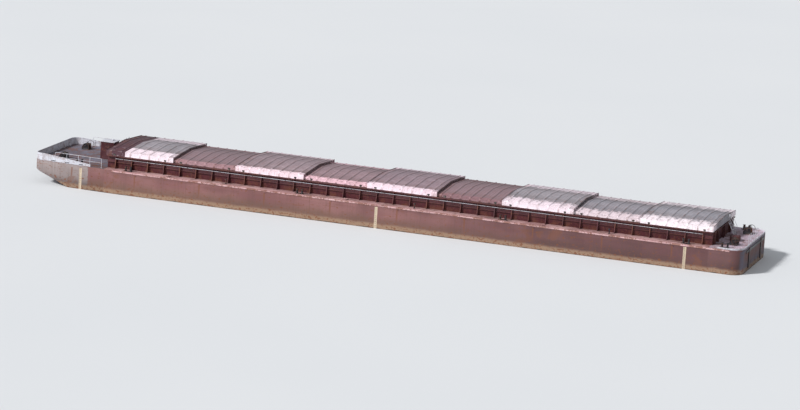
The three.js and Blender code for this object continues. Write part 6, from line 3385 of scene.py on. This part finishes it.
@dataclass
class HoldLadders:
    """Rung ladders down the hold's end walls."""

    y: float = 1500
    half: float = 200
    stand: float = 150
    stile: float = 26
    rung: float = 14
    pitch: float = 300
    top: float = COAMING_TOP - 200
    pad: float = 40
    arm: float = 22
    arm_drop: float = 200

    def build(self, slip: Slipway) -> None:
        """Make both ladders.

        Args:
            slip: Where they go.
        """
        for end in End:
            x = end.face - end.value * self.stand
            parts = [self._stile(end, x, sign) for sign in (-1, 1)]
            low = TANK_TOP + self.pitch
            rung = Bench.rod((x, self.y - self.half, low), (x, self.y + self.half, low), self.rung, 12)
            with Shaping(rung) as shape:
                for share in (-0.6, 0.6):
                    shape.slice((0, self.y + self.half * share, 0), (0, 1, 0))
                shape.faces(lambda at, n: abs(n.y) < 0.1 and abs(at.y - self.y) < self.half * 0.5)
                shape.inset(2, 2)
            Bench.smooth(rung)
            count = math.ceil((self.top - low) / self.pitch)
            parts.append(Bench.repeat(rung, count, (0, 0, self.pitch)))
            ladder = Bench.coat(Bench.join(*parts), slip.paints.hold)
            name = f"hold_ladder_{end.word}"
            slip.launch(ladder, f"{name}_rungs", "hull", "deck_paint", name)

    def _stile(self, end: End, x: float, sign: int) -> Piece:
        """A flat-bar stile with two brackets to the wall.

        Args:
            end: The hold's end.
            x: Where the ladder stands.
            sign: Which side of the ladder, -1 or 1.

        Returns:
            The stile.
        """
        y = self.y + sign * self.half
        stile = Bench.block((x - self.stile, y - 8, TANK_TOP), (x + self.stile, y + 8, self.top))
        with Shaping(stile) as shape:
            shape.edges(lambda at, way: abs(way.y) > SQUARE and at.z > self.top - 2).bevel(22, 4)
        parts = [stile]
        for z in (TANK_TOP + self.pitch, self.top - self.arm_drop):
            back = end.face + end.value * 2
            parts.append(Bench.block((x, y - 7, z - self.arm), (back, y + 7, z + self.arm)))
            low = (back - end.value * 12, y - self.pad, z - self.pad)
            parts.append(Bench.block(low, (back, y + self.pad, z + self.pad)))
        return Bench.soften(Bench.join(*parts), 3, 1)


@dataclass
class Studio:
    """Plain pale floor at the waterline, soft lights, and the camera at the photograph's viewing angle."""

    eye: Point = (55.4, -172.6, 38.85)  # metres; the photo's camera, at half size
    aim: Point = (0.35, 0.0, 1.05)
    fill: float = 0.885  # share of the picture's width that the barge takes
    length: float = 38.25
    roll: float = 3.65
    floor_z: float = WATERLINE * MM
    floor: float = 900
    cut: tuple[float, float] = (200, 400)  # how far past the hold the floor's opening goes
    air: Colour = (0.86, 0.9, 0.96, 1)
    air_strength: float = 0.42
    film: float = 36
    far: float = 3000

    def build(self, slip: Slipway) -> None:
        """Set the stage.

        Args:
            slip: Not used but for its report.
        """
        self._camera()
        self._floor()
        self._light("key", (-0.50, -0.60, 0.63), 3.5, 8)
        self._light("fill", (0.05, -1.0, 0.4), 0.3, 40)
        world = bpy.data.worlds.new("studio_air")
        world.use_nodes = True
        back = world.node_tree.nodes["Background"]
        back.inputs["Color"].default_value = self.air
        back.inputs["Strength"].default_value = self.air_strength
        bpy.context.scene.world = world
        bpy.context.scene.view_settings.view_transform = "Standard"
        LOG.info("studio ready round %d pieces", slip.count)

    def _camera(self) -> None:
        """A long lens at the photo's distance and angle, rolled as the photo shows its edge."""
        eye = Vector(self.eye)
        way = Vector(self.aim) - eye
        lens = bpy.data.cameras.new("camera")
        lens.sensor_width = self.film
        seen = self.length * abs(way.normalized().cross(Vector((1, 0, 0))).length)
        lens.lens = self.film * self.fill * way.length / seen
        lens.clip_end = self.far
        camera = bpy.data.objects.new("camera", lens)
        turn = way.to_track_quat("-Z", "Y").to_matrix().to_4x4()
        camera.matrix_world = (
            Matrix.Translation(eye) @ turn @ Matrix.Rotation(math.radians(self.roll), 4, "Z")
        )
        bpy.context.scene.collection.objects.link(camera)
        bpy.context.scene.camera = camera

    def _floor(self) -> None:
        """The floor, level with the waterline and cut out within the hull, so that the hold stays open."""
        Bench.clear()
        bpy.ops.mesh.primitive_plane_add(size=self.floor, location=(0, 0, self.floor_z))
        floor = Bench.settle()
        floor.name = "studio_floor"
        along, across = self.cut
        fore, aft, half = HOLD_FORE - along, HOLD_AFT + along, HOLD_HALF + across
        with Shaping(floor) as shape:
            for edge in (fore, aft):
                shape.slice((edge, 0, 0), (1, 0, 0))
            for edge in (-half, half):
                shape.slice((0, edge, 0), (0, 1, 0))
            shape.faces(lambda at, normal: fore < at.x < aft and abs(at.y) < half)
            shape.delete()
        r = Recipe("studio_floor")
        patch = r.noise(0.05, detail=2)
        colour = r.blend(screen(214, 216, 218), screen(220, 221, 222), patch)
        Bench.coat(floor, r.finish(colour, 0.9, patch, 0.1))

    def _light(self, name: str, way: Point, strength: float, soft: float) -> None:
        """A distant soft light.

        Args:
            name: What it is called.
            way: Direction towards it.
            strength: Its power.
            soft: The angle it spans, in degrees.
        """
        lamp = bpy.data.lights.new(name, "SUN")
        lamp.energy = strength
        lamp.angle = math.radians(soft)
        light = bpy.data.objects.new(name, lamp)
        light.rotation_euler = Vector(way).to_track_quat("Z", "Y").to_euler()
        bpy.context.scene.collection.objects.link(light)


def main() -> None:
    """Load the frame, build every sub-assembly round it and set the stage."""
    logging.basicConfig(level=logging.INFO, format="%(message)s")
    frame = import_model()
    slip = Slipway(frame, PaintLocker())
    for part in (
        Hull(),
        DraughtMarks(),
        RubbingGear(),
        Decks(),
        SideCoaming(),
        EndCoaming(),
        Covers(),
        BowBulwark(),
        ToePlate(),
        EndGear(),
        Hood(),
        Hatch(),
        Steps(),
        Railings(),
        HoldLadders(),
        Studio(),
    ):
        part.build(slip)


if __name__ == "__main__":
    main()
